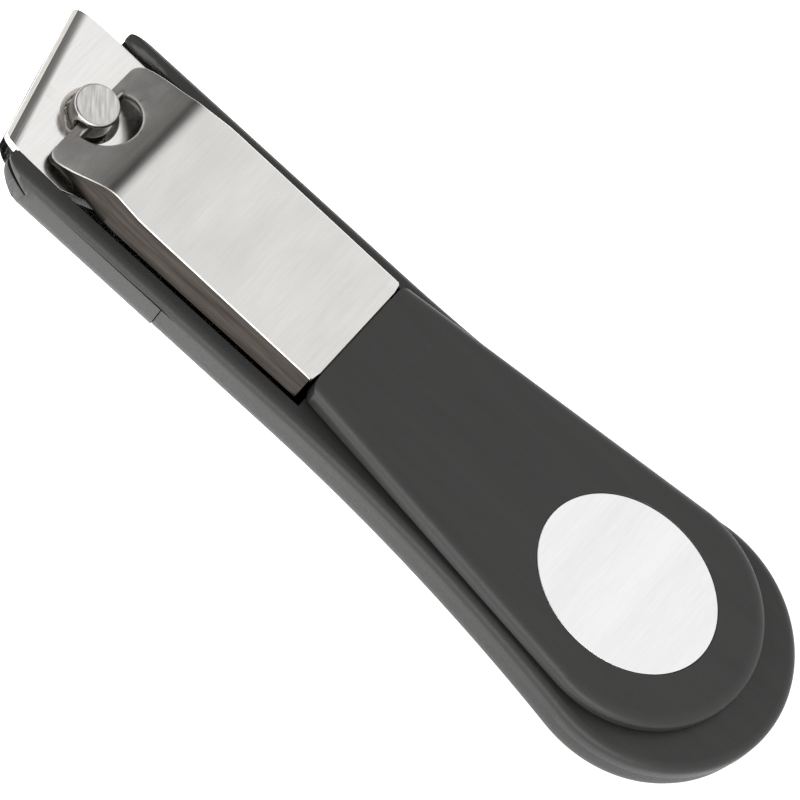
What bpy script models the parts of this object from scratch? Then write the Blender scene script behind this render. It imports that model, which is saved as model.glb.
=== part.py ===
"""Toenail clipper with a slanted edge, a plastic clippings casing and a stored lever.

Run with: blender --background --python part.py
Units are metres. +X runs from the cutting edge to the tail, +Z is up, and the
origin is the centre of the object's box on the surface it lies on.
"""

import math

import bmesh
import bpy
from mathutils import Matrix

MM = 0.001

# Casing: its outline is straight along the jaws, flares, and ends in a round tail.
CASING_HEIGHT = 6.1 * MM
CASING_HALF_WIDTH = 9.2 * MM
TAIL_RADIUS = 12.45 * MM
WALL = 1.65 * MM
FLOOR = 0.8 * MM
DECK_ROOM = 0.4 * MM
LOWER_ROUNDING = 3.0 * MM
UPPER_ROUNDING = 0.9 * MM
WING_START = 5.0 * MM
WING_TIP_LENGTH = 4.0 * MM
WING_TIP_INSET = 1.0 * MM
FLOOR_START = 13.0 * MM
FLARE_START = 36.0 * MM
DECK_START = 37.0 * MM
TAIL_CENTRE = 72.6 * MM
SLIT_MOUTH = 0.6 * MM
SLIT_END = 0.2 * MM
SLIT_FRONT_HEIGHT = 5.4 * MM
SLIT_END_HEIGHT = 4.1 * MM
SLIT_LENGTH = 3.0 * MM
NOSE_HEIGHT = 4.5 * MM
NOSE_LENGTH = 6.5 * MM
NOSE_POWER = 1.7

# Tray: the lower half of the casing, behind the wings.
TRAY_START = 23.0 * MM
PARTING_HEIGHT = 4.2 * MM
PARTING_FRONT_HEIGHT = 5.3 * MM
PARTING_LEVEL_START = 35.0 * MM
PARTING_GAP = 0.2 * MM
TRAY_INSET = 0.12 * MM

# Blades: two strips of sprung steel joined by a rivet at the rear.
BLADE_THICKNESS = 1.1 * MM
JAW_HALF_WIDTH = 7.25 * MM
ARM_HALF_WIDTH = 5.5 * MM
JAW_LENGTH = 10.0 * MM
ARM_START = 14.0 * MM
FAR_TIP = (0.0 * MM, 6.7 * MM)
NEAR_TIP = (3.4 * MM, -6.5 * MM)
JAW_OPENING = 1.4 * MM
JAW_BEND_LENGTH = 1.8 * MM
JAW_DROP = 0.35 * MM
EDGE_FACE = 0.75 * MM
EDGE_GRIND = 0.3 * MM
LOWER_BLADE_BOTTOM = 1.0 * MM
UPPER_BLADE_SINK = 0.6 * MM
ARM_GAP_AT_RIVET = 0.2 * MM
ARM_OVERHANG = 4.0 * MM

# Rivet through both arms.
RIVET_X = 58.0 * MM
RIVET_RADIUS = 1.2 * MM
RIVET_HEAD_RADIUS = 2.1 * MM
RIVET_HEAD = 0.5 * MM
HEAD_CHAMFER = 0.2 * MM

# Post through both jaws, with a notch behind it that the lever's bar turns in.
POST_X = 7.4 * MM
POST_RADIUS = 2.05 * MM
POST_RISE = 1.7 * MM
POST_FOOT_LIP = 0.85 * MM
POST_FOOT = 0.6 * MM
UPPER_HOLE_ROOM = 0.55 * MM
UPPER_HOLE_SETBACK = 0.2 * MM

# Lever: a pressed steel channel whose tongue slopes down to a bar in the post's notch.
LEVER_RISE = 3.1 * MM
LEVER_FALL = 0.019
LEVER_THICKNESS = 1.0 * MM
TONGUE_THICKNESS = 0.8 * MM
TONGUE_FRONT = 7.25 * MM
TONGUE_RISE = 0.55 * MM
TONGUE_HALF_WIDTH = 6.3 * MM
TONGUE_CORNER = 1.0 * MM
LEVER_RIDGE = 13.5 * MM
LEVER_HALF_WIDTH = 6.1 * MM
LEVER_FLARE = 1.3 * MM
LEVER_WEB = 0.6 * MM
LEVER_FLARE_LENGTH = 8.0 * MM
BAR_WIDTH = 0.9 * MM
EYE_ROOM = 0.9 * MM
EYE_SETBACK = 1.42 * MM
TANG_HALF_WIDTH = 5.0 * MM
TANG_THICKNESS = 0.7 * MM
TANG_OVERLAP = 3.0 * MM
TANG_END = 57.0 * MM

# Grip moulded over the lever's tang, with an oval plate let into its top.
GRIP_FRONT = 36.7 * MM
GRIP_FRONT_HALF_WIDTH = 6.95 * MM
GRIP_TAIL_CENTRE = 69.9 * MM
GRIP_TAIL_RADIUS = 11.0 * MM
GRIP_PROUD = 0.06 * MM
GRIP_UPPER_ROUNDING = 1.2 * MM
GRIP_LOWER_ROUNDING = 0.35 * MM
GRIP_CORNER = 1.5 * MM
INLAY_X = 67.6 * MM
INLAY_HALF_LENGTH = 8.7 * MM
INLAY_HALF_WIDTH = 7.4 * MM
INLAY_THICKNESS = 0.6 * MM
INLAY_SINK = 0.04 * MM

# Clearances.
SEAT_GAP = 0.3 * MM
CLOSE_GAP = 0.15 * MM
NOTCH_PLAY = 0.12 * MM
PAST = 5.0 * MM

# Derived places.
LENGTH = TAIL_CENTRE + TAIL_RADIUS
CENTRE_X = LENGTH / 2
INNER_HALF_WIDTH = CASING_HALF_WIDTH - WALL
UPPER_BLADE_TOP = CASING_HEIGHT - UPPER_BLADE_SINK
LOWER_BLADE_TOP = LOWER_BLADE_BOTTOM + BLADE_THICKNESS
RIVET_SPLIT = LOWER_BLADE_TOP + ARM_GAP_AT_RIVET
RIVET_TOP = RIVET_SPLIT + BLADE_THICKNESS + SEAT_GAP + RIVET_HEAD
ARM_SLOPE = (UPPER_BLADE_TOP - RIVET_SPLIT - BLADE_THICKNESS) / (RIVET_X - POST_X)
ARM_TOP_AT_DECK = UPPER_BLADE_TOP - ARM_SLOPE * (DECK_START - POST_X)
CEILING = max(RIVET_TOP + DECK_ROOM, ARM_TOP_AT_DECK + SEAT_GAP)
POST_TOP = CASING_HEIGHT + POST_RISE
POST_FOOT_RADIUS = POST_RADIUS + POST_FOOT_LIP
UPPER_HOLE_RADIUS = POST_RADIUS + UPPER_HOLE_ROOM
LOWER_HOLE_RADIUS = POST_RADIUS + SEAT_GAP
LEVER_TOP = CASING_HEIGHT + LEVER_RISE
TONGUE_TOP = CASING_HEIGHT + TONGUE_RISE
EYE_RADIUS = POST_RADIUS + EYE_ROOM
LEVER_BOTTOM = CASING_HEIGHT + SEAT_GAP
LEVER_END = GRIP_FRONT - CLOSE_GAP
TONGUE_SLOPE = (LEVER_TOP - TONGUE_TOP) / (LEVER_RIDGE - TONGUE_FRONT)
TONGUE_DEPTH = TONGUE_THICKNESS * math.hypot(1, TONGUE_SLOPE)
PIVOT_X = TONGUE_FRONT + BAR_WIDTH / 2
PIVOT_HEIGHT = TONGUE_TOP + TONGUE_SLOPE * BAR_WIDTH / 2 - TONGUE_DEPTH / 2
BAR_REACH = math.hypot(BAR_WIDTH / 2, (TONGUE_SLOPE * BAR_WIDTH + TONGUE_DEPTH) / 2)
NOTCH_RADIUS = BAR_REACH + NOTCH_PLAY
TANG_DEPTH = LEVER_THICKNESS / 2 + CLOSE_GAP
ARM_END = RIVET_X + ARM_OVERHANG

ROUND_STEPS = 48
ARC_STEPS = 24


def clear_scene():
    for item in list(bpy.data.objects):
        bpy.data.objects.remove(item, do_unlink=True)


def make_collection(name):
    collection = bpy.data.collections.new(name)
    bpy.context.scene.collection.children.link(collection)
    return collection


def make_material(name, colour, roughness, metallic):
    material = bpy.data.materials.new(name)
    material.use_nodes = True
    shader = material.node_tree.nodes["Principled BSDF"]
    shader.inputs["Base Color"].default_value = (*colour, 1.0)
    shader.inputs["Roughness"].default_value = roughness
    shader.inputs["Metallic"].default_value = metallic
    return material


def finish(obj, material, smooth=True):
    """Gives a part its material and its smooth or faceted shading."""
    obj.data.materials.clear()
    obj.data.materials.append(material)
    if smooth:
        obj.data.shade_smooth()
        obj.data.set_sharp_from_angle(angle=math.radians(35))
    return obj


def as_cutter(obj):
    obj.hide_render = True
    obj.display_type = "WIRE"
    for collection in list(obj.users_collection):
        collection.objects.unlink(obj)
    cutters.objects.link(obj)
    return obj


def combine(target, other, operation):
    """Adds a Boolean between two meshes, and returns the target."""
    modifier = target.modifiers.new(operation.title() + " " + other.name, "BOOLEAN")
    modifier.operation = operation
    modifier.solver = "EXACT"
    modifier.object = other
    return target


def prism(name, outline, low, high, plane="XY"):
    """Extrudes an outline from low to high, across the plane that it is drawn in.

    The outline is (x, y) in plane XY, (x, z) in plane XZ and (y, z) in plane YZ.
    """
    curve = bpy.data.curves.new(name, "CURVE")
    curve.dimensions = "2D"
    curve.fill_mode = "BOTH"
    curve.extrude = (high - low) / 2
    spline = curve.splines.new("POLY")
    spline.points.add(len(outline) - 1)
    for point, (across, along) in zip(spline.points, outline):
        point.co = (across, along, 0, 1)
    spline.use_cyclic_u = True
    drawn = bpy.data.objects.new(name + " outline", curve)
    parts.objects.link(drawn)
    middle = (low + high) / 2
    if plane == "XY":
        drawn.matrix_world = Matrix.Translation((0, 0, middle))
    elif plane == "XZ":
        turn = Matrix.Rotation(math.radians(90), 4, "X")
        drawn.matrix_world = Matrix.Translation((0, middle, 0)) @ turn
    else:
        turn = Matrix(((0, 0, 1, 0), (1, 0, 0, 0), (0, 1, 0, 0), (0, 0, 0, 1)))
        drawn.matrix_world = Matrix.Translation((middle, 0, 0)) @ turn
    return mesh_from_curve(drawn, name)


def mesh_from_curve(drawn, name):
    """Turns a curve into a mesh object in the same place, with flat caps of one face each."""
    bpy.context.view_layer.update()
    graph = bpy.context.evaluated_depsgraph_get()
    mesh = bpy.data.meshes.new_from_object(drawn.evaluated_get(graph))
    mesh.transform(drawn.matrix_world)
    solid = bmesh.new()
    solid.from_mesh(mesh)
    bmesh.ops.remove_doubles(solid, verts=solid.verts, dist=0.001 * MM)
    bmesh.ops.dissolve_limit(
        solid, angle_limit=math.radians(0.2), verts=solid.verts, edges=solid.edges
    )
    bmesh.ops.recalc_face_normals(solid, faces=solid.faces)
    solid.to_mesh(mesh)
    solid.free()
    obj = bpy.data.objects.new(name, mesh)
    parts.objects.link(obj)
    bpy.data.objects.remove(drawn, do_unlink=True)
    return obj


def round_rim(obj, height, radius, segments):
    """Rounds the edges that lie all round a prism at one height."""
    solid = bmesh.new()
    solid.from_mesh(obj.data)
    rim = [
        edge
        for edge in solid.edges
        if all(abs(vert.co.z - height) < 0.01 * MM for vert in edge.verts)
    ]
    bmesh.ops.bevel(
        solid, geom=rim, offset=radius, segments=segments, profile=0.5, affect="EDGES"
    )
    solid.to_mesh(obj.data)
    solid.free()
    return obj


def turned(name, profile, centre):
    """Spins a profile of (radius, height) points, listed from the top down, about +Z."""
    mesh = bpy.data.meshes.new(name)
    points = [(radius, 0, height) for radius, height in profile]
    edges = [(index, index + 1) for index in range(len(points) - 1)]
    mesh.from_pydata(points, edges, [])
    obj = bpy.data.objects.new(name, mesh)
    parts.objects.link(obj)
    obj.location = centre
    screw = obj.modifiers.new("Turn", "SCREW")
    screw.steps = ROUND_STEPS
    screw.render_steps = ROUND_STEPS
    screw.use_merge_vertices = True
    screw.merge_threshold = 0.001 * MM
    return obj


def in_frame(outline):
    """Moves an outline measured from the front tip to the part's own origin."""
    return [(along - CENTRE_X, across) for along, across in outline]


def mirrored(half):
    """Closes a half outline at +Y with its mirror image."""
    return half + [(along, -across) for along, across in reversed(half)]


def arc(centre, radius, start, end, steps=ARC_STEPS):
    """Points on a round stretch between two angles in degrees, both ends included."""
    found = []
    for step in range(steps + 1):
        angle = math.radians(start + (end - start) * step / steps)
        found.append(
            (
                centre[0] + radius * math.cos(angle),
                centre[1] + radius * math.sin(angle),
            )
        )
    return found


def rectangle(left, right, low, high):
    return [(left, low), (right, low), (right, high), (left, high)]


def flare_end():
    """The angle in degrees where the flare meets the tail's round end, and that point."""
    low, high = 90.0, 130.0
    for _ in range(40):
        angle = (low + high) / 2
        along = TAIL_CENTRE + TAIL_RADIUS * math.cos(math.radians(angle))
        across = TAIL_RADIUS * math.sin(math.radians(angle))
        flare_slope = 2 * (across - CASING_HALF_WIDTH) / (along - FLARE_START)
        round_slope = -1 / math.tan(math.radians(angle))
        if round_slope > flare_slope:
            high = angle
        else:
            low = angle
    return angle, (along, across)


def casing_outline(inset):
    """The casing's plan, drawn in from its outer face by the inset."""
    angle, (flare_x, flare_y) = flare_end()
    half = [(WING_START, CASING_HALF_WIDTH - inset)]
    for step in range(13):
        share = step / 12
        along = FLARE_START + (flare_x - FLARE_START) * share
        across = CASING_HALF_WIDTH + (flare_y - CASING_HALF_WIDTH) * share**2
        half.append((along, across - inset))
    tail = arc((TAIL_CENTRE, 0), TAIL_RADIUS - inset, angle, 0, 20)
    half.extend(tail[1:])
    return in_frame(half + [(along, -across) for along, across in reversed(half[:-1])])


def wing_plan():
    """A block that leaves the casing as it is, but draws in the tips of its wings."""
    half = []
    for step in range(7):
        turn = math.radians(90 * step / 6)
        half.append(
            (
                WING_START + WING_TIP_LENGTH * (1 - math.cos(turn)),
                CASING_HALF_WIDTH - WING_TIP_INSET * (1 - math.sin(turn)),
            )
        )
    half.append((WING_START + WING_TIP_LENGTH, 2 * TAIL_RADIUS))
    half.append((LENGTH + PAST, 2 * TAIL_RADIUS))
    block = prism("wing_plan", in_frame(mirrored(half)), -PAST, CASING_HEIGHT + PAST)
    return as_cutter(block)


def casing_body(name, inset):
    body = prism(name, casing_outline(inset), 0, CASING_HEIGHT)
    round_rim(body, CASING_HEIGHT, UPPER_ROUNDING, 4)
    return round_rim(body, 0, LOWER_ROUNDING, 6)


def casing_cavity(name):
    """The hollow between floor and deck, open at the front."""
    body = prism(name, casing_outline(WALL), FLOOR, CEILING)
    mouth = prism(
        name + " mouth",
        in_frame(rectangle(-PAST, FLARE_START, -INNER_HALF_WIDTH, INNER_HALF_WIDTH)),
        FLOOR,
        CEILING,
    )
    combine(body, as_cutter(mouth), "UNION")
    return as_cutter(body)


def tray_space(name, gap):
    """A block below the parting line, which falls from its front end and then runs level."""
    outline = [
        (TRAY_START - gap, -PAST),
        (LENGTH + PAST, -PAST),
        (LENGTH + PAST, PARTING_HEIGHT + gap),
        (PARTING_LEVEL_START, PARTING_HEIGHT + gap),
        (TRAY_START - gap, PARTING_FRONT_HEIGHT + gap),
    ]
    reach = 2 * TAIL_RADIUS
    return as_cutter(prism(name, in_frame(outline), -reach, reach, "XZ"))


def wing_slit():
    """The slanted cut, wide at its mouth, that splits each wing's front into two prongs."""
    lean = math.atan2(SLIT_FRONT_HEIGHT - SLIT_END_HEIGHT, SLIT_LENGTH)
    end = (WING_START + SLIT_LENGTH, SLIT_END_HEIGHT)
    turn = 90 - math.degrees(lean)
    mouth = (end[0] - 2 * SLIT_LENGTH, end[1] + 2 * SLIT_LENGTH * math.tan(lean))
    half = SLIT_MOUTH - SLIT_END / 2
    across = (half * math.sin(lean), half * math.cos(lean))
    outline = [(mouth[0] + across[0], mouth[1] + across[1])]
    outline.extend(arc(end, SLIT_END / 2, turn, turn - 180, 8))
    outline.append((mouth[0] - across[0], mouth[1] - across[1]))
    reach = 2 * CASING_HALF_WIDTH
    return as_cutter(prism("wing_slit_cutter", in_frame(outline), -reach, reach, "XZ"))


def wing_nose():
    """The space below each wing's front, whose lower corner is swept up."""
    outline = [(-PAST, -PAST), (-PAST, NOSE_HEIGHT)]
    steps = 8
    for step in range(steps + 1):
        share = step / steps
        along = WING_START + NOSE_LENGTH * share**NOSE_POWER
        outline.append((along, NOSE_HEIGHT * (1 - share)))
    outline.append((WING_START + NOSE_LENGTH, -PAST))
    reach = 2 * CASING_HALF_WIDTH
    return as_cutter(prism("wing_nose_cutter", in_frame(outline), -reach, reach, "XZ"))


def casing_channel():
    """The open top between the side walls, in front of the deck."""
    block = prism(
        "channel_cutter",
        in_frame(rectangle(-PAST, DECK_START, -INNER_HALF_WIDTH, INNER_HALF_WIDTH)),
        CEILING - FLOOR,
        CASING_HEIGHT + PAST,
    )
    return as_cutter(block)


def make_casing_frame(material, cavity, channel):
    """The upper shell, with the two wings that stand beside the jaws."""
    frame = casing_body("casing_frame", 0)
    mouth = prism(
        "floor_mouth_cutter",
        in_frame(rectangle(-PAST, FLOOR_START, -INNER_HALF_WIDTH, INNER_HALF_WIDTH)),
        -PAST,
        2 * FLOOR,
    )
    combine(frame, wing_plan(), "INTERSECT")
    combine(frame, cavity, "DIFFERENCE")
    combine(frame, channel, "DIFFERENCE")
    combine(frame, as_cutter(mouth), "DIFFERENCE")
    combine(frame, tray_space("frame_parting_cutter", PARTING_GAP / 2), "DIFFERENCE")
    combine(frame, wing_slit(), "DIFFERENCE")
    combine(frame, wing_nose(), "DIFFERENCE")
    return finish(frame, material)


def make_casing_tray(material, cavity, channel):
    """The lower shell, closed below, with a round well for the rivet's lower head."""
    tray = casing_body("casing_tray", TRAY_INSET)
    combine(tray, tray_space("tray_parting_cutter", -PARTING_GAP / 2), "INTERSECT")
    combine(tray, cavity, "DIFFERENCE")
    combine(tray, channel, "DIFFERENCE")
    well = prism(
        "rivet_well_cutter",
        arc((RIVET_X - CENTRE_X, 0), RIVET_HEAD_RADIUS + SEAT_GAP, 0, 345, 23),
        -PAST,
        2 * FLOOR,
    )
    combine(tray, as_cutter(well), "DIFFERENCE")
    return finish(tray, material)


def blade_plan():
    """The plan that both blades share: a slanted front edge, wide jaws and a narrow arm."""
    far_x, far_y = FAR_TIP
    near_x, near_y = NEAR_TIP
    outline = [FAR_TIP]
    for step in range(1, 7):
        turn = math.radians(90 * step / 6)
        along = far_x + (WING_START - far_x) * (1 - math.cos(turn))
        outline.append((along, far_y + (JAW_HALF_WIDTH - far_y) * math.sin(turn)))
    outline.append((JAW_LENGTH, JAW_HALF_WIDTH))
    outline.append((ARM_START, ARM_HALF_WIDTH))
    corner = ARM_HALF_WIDTH / 2
    outline.extend(
        arc((ARM_END - corner, ARM_HALF_WIDTH - corner), corner, 90, 0, 6)
    )
    outline.extend(
        arc((ARM_END - corner, corner - ARM_HALF_WIDTH), corner, 0, -90, 6)
    )
    outline.append((ARM_START, -ARM_HALF_WIDTH))
    outline.append((JAW_LENGTH, -JAW_HALF_WIDTH))
    for step in range(5, 0, -1):
        turn = math.radians(90 * step / 6)
        along = near_x + (JAW_LENGTH - near_x) * (1 - math.cos(turn)) / 2
        outline.append((along, near_y - (JAW_HALF_WIDTH + near_y) * math.sin(turn)))
    outline.append(NEAR_TIP)
    return in_frame(outline)


def edge_slant():
    """The angle between the cutting edge and the crosswise direction."""
    return math.atan2(NEAR_TIP[0] - FAR_TIP[0], FAR_TIP[1] - NEAR_TIP[1])


def blade_side(name, profile, reach):
    """Extrudes a blade's side profile along its slanted cutting edge."""
    body = prism(name, in_frame(profile), -reach, reach, "XZ")
    middle = ((FAR_TIP[0] + NEAR_TIP[0]) / 2 - CENTRE_X, 0, 0)
    turn = Matrix.Rotation(edge_slant(), 4, "Z")
    body.data.transform(
        Matrix.Translation(middle) @ turn @ Matrix.Translation((-middle[0], 0, 0))
    )
    return body


def jaw_curve(edge_height, level, steps=6):
    """A smooth rise from the cutting edge to the flat behind it, front to back."""
    edge = (FAR_TIP[0] + NEAR_TIP[0]) / 2
    found = []
    for step in range(steps + 1):
        share = step / steps
        along = edge + JAW_BEND_LENGTH * share
        rise = math.sin(math.radians(90 * share))
        found.append((along, edge_height + (level - edge_height) * rise))
    return found


def make_upper_blade(material):
    """The upper strip: its arm rises from the rivet and its jaw turns down to the edge."""
    edge = (FAR_TIP[0] + NEAR_TIP[0]) / 2
    bend = edge + JAW_BEND_LENGTH
    level = UPPER_BLADE_TOP - ARM_SLOPE * (bend - POST_X)
    tail = UPPER_BLADE_TOP - ARM_SLOPE * (ARM_END + PAST - POST_X)
    top = jaw_curve(level - JAW_DROP, level)
    face_top = top[0][1]
    ground = (edge + EDGE_GRIND, top[0][1] + EDGE_GRIND / 2)
    edge_height = face_top - EDGE_FACE - EDGE_GRIND / 2
    underside = jaw_curve(edge_height, level - BLADE_THICKNESS)
    profile = [(edge, face_top - EDGE_GRIND / 2), ground]
    profile.extend(point for point in top if point[0] > ground[0])
    profile.append((ARM_END + PAST, tail))
    profile.append((ARM_END + PAST, tail - BLADE_THICKNESS))
    profile.extend(reversed(underside))
    blade = blade_side("upper_blade", profile, 3 * JAW_HALF_WIDTH)
    hole = (POST_X + UPPER_HOLE_SETBACK, UPPER_HOLE_RADIUS)
    return finish_blade(blade, hole, material), edge_height


def make_lower_blade(material, upper_edge):
    """The lower strip lies flat, with its edge under the upper edge."""
    edge_height = upper_edge - JAW_OPENING
    edge = (FAR_TIP[0] + NEAR_TIP[0]) / 2
    top = jaw_curve(edge_height, LOWER_BLADE_TOP)
    bottom = jaw_curve(edge_height - EDGE_FACE, LOWER_BLADE_BOTTOM)
    profile = [(edge, edge_height - EDGE_FACE)]
    profile.extend(top)
    profile.append((ARM_END + PAST, LOWER_BLADE_TOP))
    profile.append((ARM_END + PAST, LOWER_BLADE_BOTTOM))
    profile.extend(reversed(bottom[1:]))
    blade = blade_side("lower_blade", profile, 3 * JAW_HALF_WIDTH)
    return finish_blade(blade, (POST_X, LOWER_HOLE_RADIUS), material)


def finish_blade(blade, post_hole, material):
    """Trims a blade to its plan and drills it for the post and the rivet."""
    plan = prism(blade.name + "_plan", blade_plan(), -PAST, LEVER_TOP)
    combine(blade, as_cutter(plan), "INTERSECT")
    holes = (("post", *post_hole), ("rivet", RIVET_X, RIVET_RADIUS + SEAT_GAP))
    for label, along, radius in holes:
        hole = prism(
            blade.name + "_" + label + "_cutter",
            arc((along - CENTRE_X, 0), radius, 0, 352.5, 47),
            -PAST,
            LEVER_TOP,
        )
        combine(blade, as_cutter(hole), "DIFFERENCE")
    return finish(blade, material)


def make_rivet(material):
    bottom = LOWER_BLADE_BOTTOM - SEAT_GAP + CLOSE_GAP
    top = RIVET_TOP - RIVET_HEAD
    profile = [
        (0, RIVET_TOP),
        (RIVET_HEAD_RADIUS - HEAD_CHAMFER, RIVET_TOP),
        (RIVET_HEAD_RADIUS, RIVET_TOP - HEAD_CHAMFER),
        (RIVET_HEAD_RADIUS, top),
        (RIVET_RADIUS, top),
        (RIVET_RADIUS, bottom),
        (RIVET_HEAD_RADIUS, bottom),
        (RIVET_HEAD_RADIUS, bottom - RIVET_HEAD),
        (0, bottom - RIVET_HEAD),
    ]
    return finish(turned("rear_rivet", profile, (RIVET_X - CENTRE_X, 0, 0)), material)


def make_post(material):
    """The post turns in the blades: foot below, and a notch above for the lever's bar."""
    foot_top = LOWER_BLADE_BOTTOM - CLOSE_GAP
    profile = [
        (0, POST_TOP),
        (POST_RADIUS - HEAD_CHAMFER, POST_TOP),
        (POST_RADIUS, POST_TOP - HEAD_CHAMFER),
        (POST_RADIUS, foot_top),
        (POST_FOOT_RADIUS, foot_top),
        (POST_FOOT_RADIUS, foot_top - POST_FOOT),
        (0, foot_top - POST_FOOT),
    ]
    post = turned("pivot_post", profile, (POST_X - CENTRE_X, 0, 0))
    notch = arc((PIVOT_X, PIVOT_HEIGHT), NOTCH_RADIUS, 90, 270, 12)
    notch.append((PIVOT_X + PAST, PIVOT_HEIGHT - NOTCH_RADIUS))
    notch.append((PIVOT_X + PAST, PIVOT_HEIGHT + NOTCH_RADIUS))
    reach = 2 * POST_RADIUS
    cutter = prism("post_notch_cutter", in_frame(notch), -reach, reach, "XZ")
    combine(post, as_cutter(cutter), "DIFFERENCE")
    return finish(post, material)


def plate_height(along):
    """The height of the lever's top behind the ridge, falling towards the tail."""
    return LEVER_TOP - LEVER_FALL * (along - LEVER_RIDGE)


def lever_section(name, thickness, front, end):
    """A block along X whose sides spread outwards towards the bottom."""
    spread = LEVER_FLARE / (LEVER_TOP - LEVER_BOTTOM)
    half = LEVER_HALF_WIDTH - thickness * math.hypot(1, spread)
    low = LEVER_BOTTOM - PAST
    high = LEVER_TOP + PAST
    wide = half + spread * (LEVER_TOP - low)
    narrow = half + spread * (LEVER_TOP - high)
    outline = [(-wide, low), (wide, low), (narrow, high), (-narrow, high)]
    return as_cutter(prism(name, outline, front - CENTRE_X, end - CENTRE_X, "YZ"))


def lever_plan():
    """The lever seen from above: a narrow tongue that widens into the channel."""
    wide = LEVER_HALF_WIDTH + LEVER_FLARE
    corner = (TONGUE_FRONT + TONGUE_CORNER, TONGUE_HALF_WIDTH - TONGUE_CORNER)
    half = arc(corner, TONGUE_CORNER, 180, 90, 6)
    half.append((TONGUE_FRONT + LEVER_FLARE_LENGTH, wide))
    half.append((LEVER_END, wide))
    return in_frame(mirrored(half))


def lever_eye():
    """The round hole in the tongue, cut off straight behind the bar."""
    middle = TONGUE_FRONT + EYE_SETBACK
    angle = math.degrees(math.acos((BAR_WIDTH - EYE_SETBACK) / EYE_RADIUS))
    outline = arc((middle, 0), EYE_RADIUS, -angle, angle, 36)
    eye = prism("lever_eye", in_frame(outline), LEVER_BOTTOM - PAST, LEVER_TOP + PAST)
    return as_cutter(eye)


def lever_tang():
    """The flat strip that runs back into the grip."""
    front = LEVER_END - TANG_OVERLAP
    outline = [
        (front, plate_height(front) - TANG_DEPTH - TANG_THICKNESS),
        (TANG_END, plate_height(TANG_END) - TANG_DEPTH - TANG_THICKNESS),
        (TANG_END, plate_height(TANG_END) - TANG_DEPTH),
        (front, plate_height(front) - TANG_DEPTH),
    ]
    strip = prism(
        "lever_tang", in_frame(outline), -TANG_HALF_WIDTH, TANG_HALF_WIDTH, "XZ"
    )
    return as_cutter(strip)


def make_lever_arm(material):
    """The steel lever: sloping tongue with its eye, channel with spread sides, and tang."""
    front_bottom = TONGUE_TOP - TONGUE_DEPTH
    knee = TONGUE_FRONT + (LEVER_BOTTOM - front_bottom) / TONGUE_SLOPE
    under_top = LEVER_TOP - LEVER_THICKNESS
    under_ridge = TONGUE_FRONT + (under_top - front_bottom) / TONGUE_SLOPE
    outer = [
        (TONGUE_FRONT, front_bottom),
        (TONGUE_FRONT, TONGUE_TOP),
        (LEVER_RIDGE, LEVER_TOP),
        (LEVER_END, plate_height(LEVER_END)),
        (LEVER_END, LEVER_BOTTOM),
        (knee, LEVER_BOTTOM),
    ]
    hollow_front = knee + LEVER_WEB
    hollow_end = LEVER_END + PAST
    inner = [
        (hollow_front, LEVER_BOTTOM - PAST),
        (hollow_front, LEVER_BOTTOM + LEVER_WEB * TONGUE_SLOPE),
        (under_ridge, plate_height(under_ridge) - LEVER_THICKNESS),
        (hollow_end, plate_height(hollow_end) - LEVER_THICKNESS),
        (hollow_end, LEVER_BOTTOM - PAST),
    ]
    reach = 2 * LEVER_HALF_WIDTH
    arm = prism("lever_arm", in_frame(outer), -reach, reach, "XZ")
    section = lever_section("lever_section", 0, TONGUE_FRONT - PAST, LEVER_END + PAST)
    combine(arm, section, "INTERSECT")
    plan = prism("lever_plan", lever_plan(), LEVER_BOTTOM - PAST, LEVER_TOP + PAST)
    combine(arm, as_cutter(plan), "INTERSECT")
    hollow = prism("lever_hollow", in_frame(inner), -reach, reach, "XZ")
    hollow_section = lever_section(
        "lever_hollow_section", LEVER_THICKNESS, TONGUE_FRONT, LEVER_END + 2 * PAST
    )
    combine(as_cutter(hollow), hollow_section, "INTERSECT")
    combine(arm, hollow, "DIFFERENCE")
    combine(arm, lever_eye(), "DIFFERENCE")
    combine(arm, lever_tang(), "UNION")
    return finish(arm, material)


def grip_side():
    """The angle in degrees that the straight side faces, and the front corner's centre."""
    distance = math.hypot(GRIP_TAIL_CENTRE - GRIP_FRONT, GRIP_FRONT_HALF_WIDTH)
    towards = math.atan2(GRIP_FRONT_HALF_WIDTH, GRIP_FRONT - GRIP_TAIL_CENTRE)
    facing = towards - math.acos(GRIP_TAIL_RADIUS / distance)
    along = GRIP_FRONT + GRIP_CORNER
    reach = GRIP_TAIL_RADIUS - GRIP_CORNER
    across = (reach - (along - GRIP_TAIL_CENTRE) * math.cos(facing)) / math.sin(facing)
    return math.degrees(facing), (along, across)


def grip_outline():
    """Straight sides that touch the round tail, and run on past the front."""
    facing = math.radians(grip_side()[0])
    front = GRIP_FRONT - PAST
    reach = (GRIP_TAIL_CENTRE - front) * math.cos(facing)
    half = [(front, (GRIP_TAIL_RADIUS + reach) / math.sin(facing))]
    half.extend(
        arc((GRIP_TAIL_CENTRE, 0), GRIP_TAIL_RADIUS, math.degrees(facing), 0, 20)
    )
    return in_frame(half + [(along, -across) for along, across in reversed(half[:-1])])


def grip_front_trim():
    """A block that cuts the grip off square at its front and rounds the two corners."""
    facing, corner = grip_side()
    half = arc(corner, GRIP_CORNER, 180, facing, 6)
    half.append((half[-1][0], 2 * TAIL_RADIUS))
    half.append((LENGTH + PAST, 2 * TAIL_RADIUS))
    block = prism("grip_trim", in_frame(mirrored(half)), -PAST, LEVER_TOP + PAST)
    return as_cutter(block)


def oval(grow):
    """The inlay's outline, made larger all round by the given amount."""
    found = []
    for step in range(ROUND_STEPS):
        angle = 2 * math.pi * step / ROUND_STEPS
        found.append(
            (
                INLAY_X - CENTRE_X + (INLAY_HALF_LENGTH + grow) * math.cos(angle),
                (INLAY_HALF_WIDTH + grow) * math.sin(angle),
            )
        )
    return found


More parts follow.
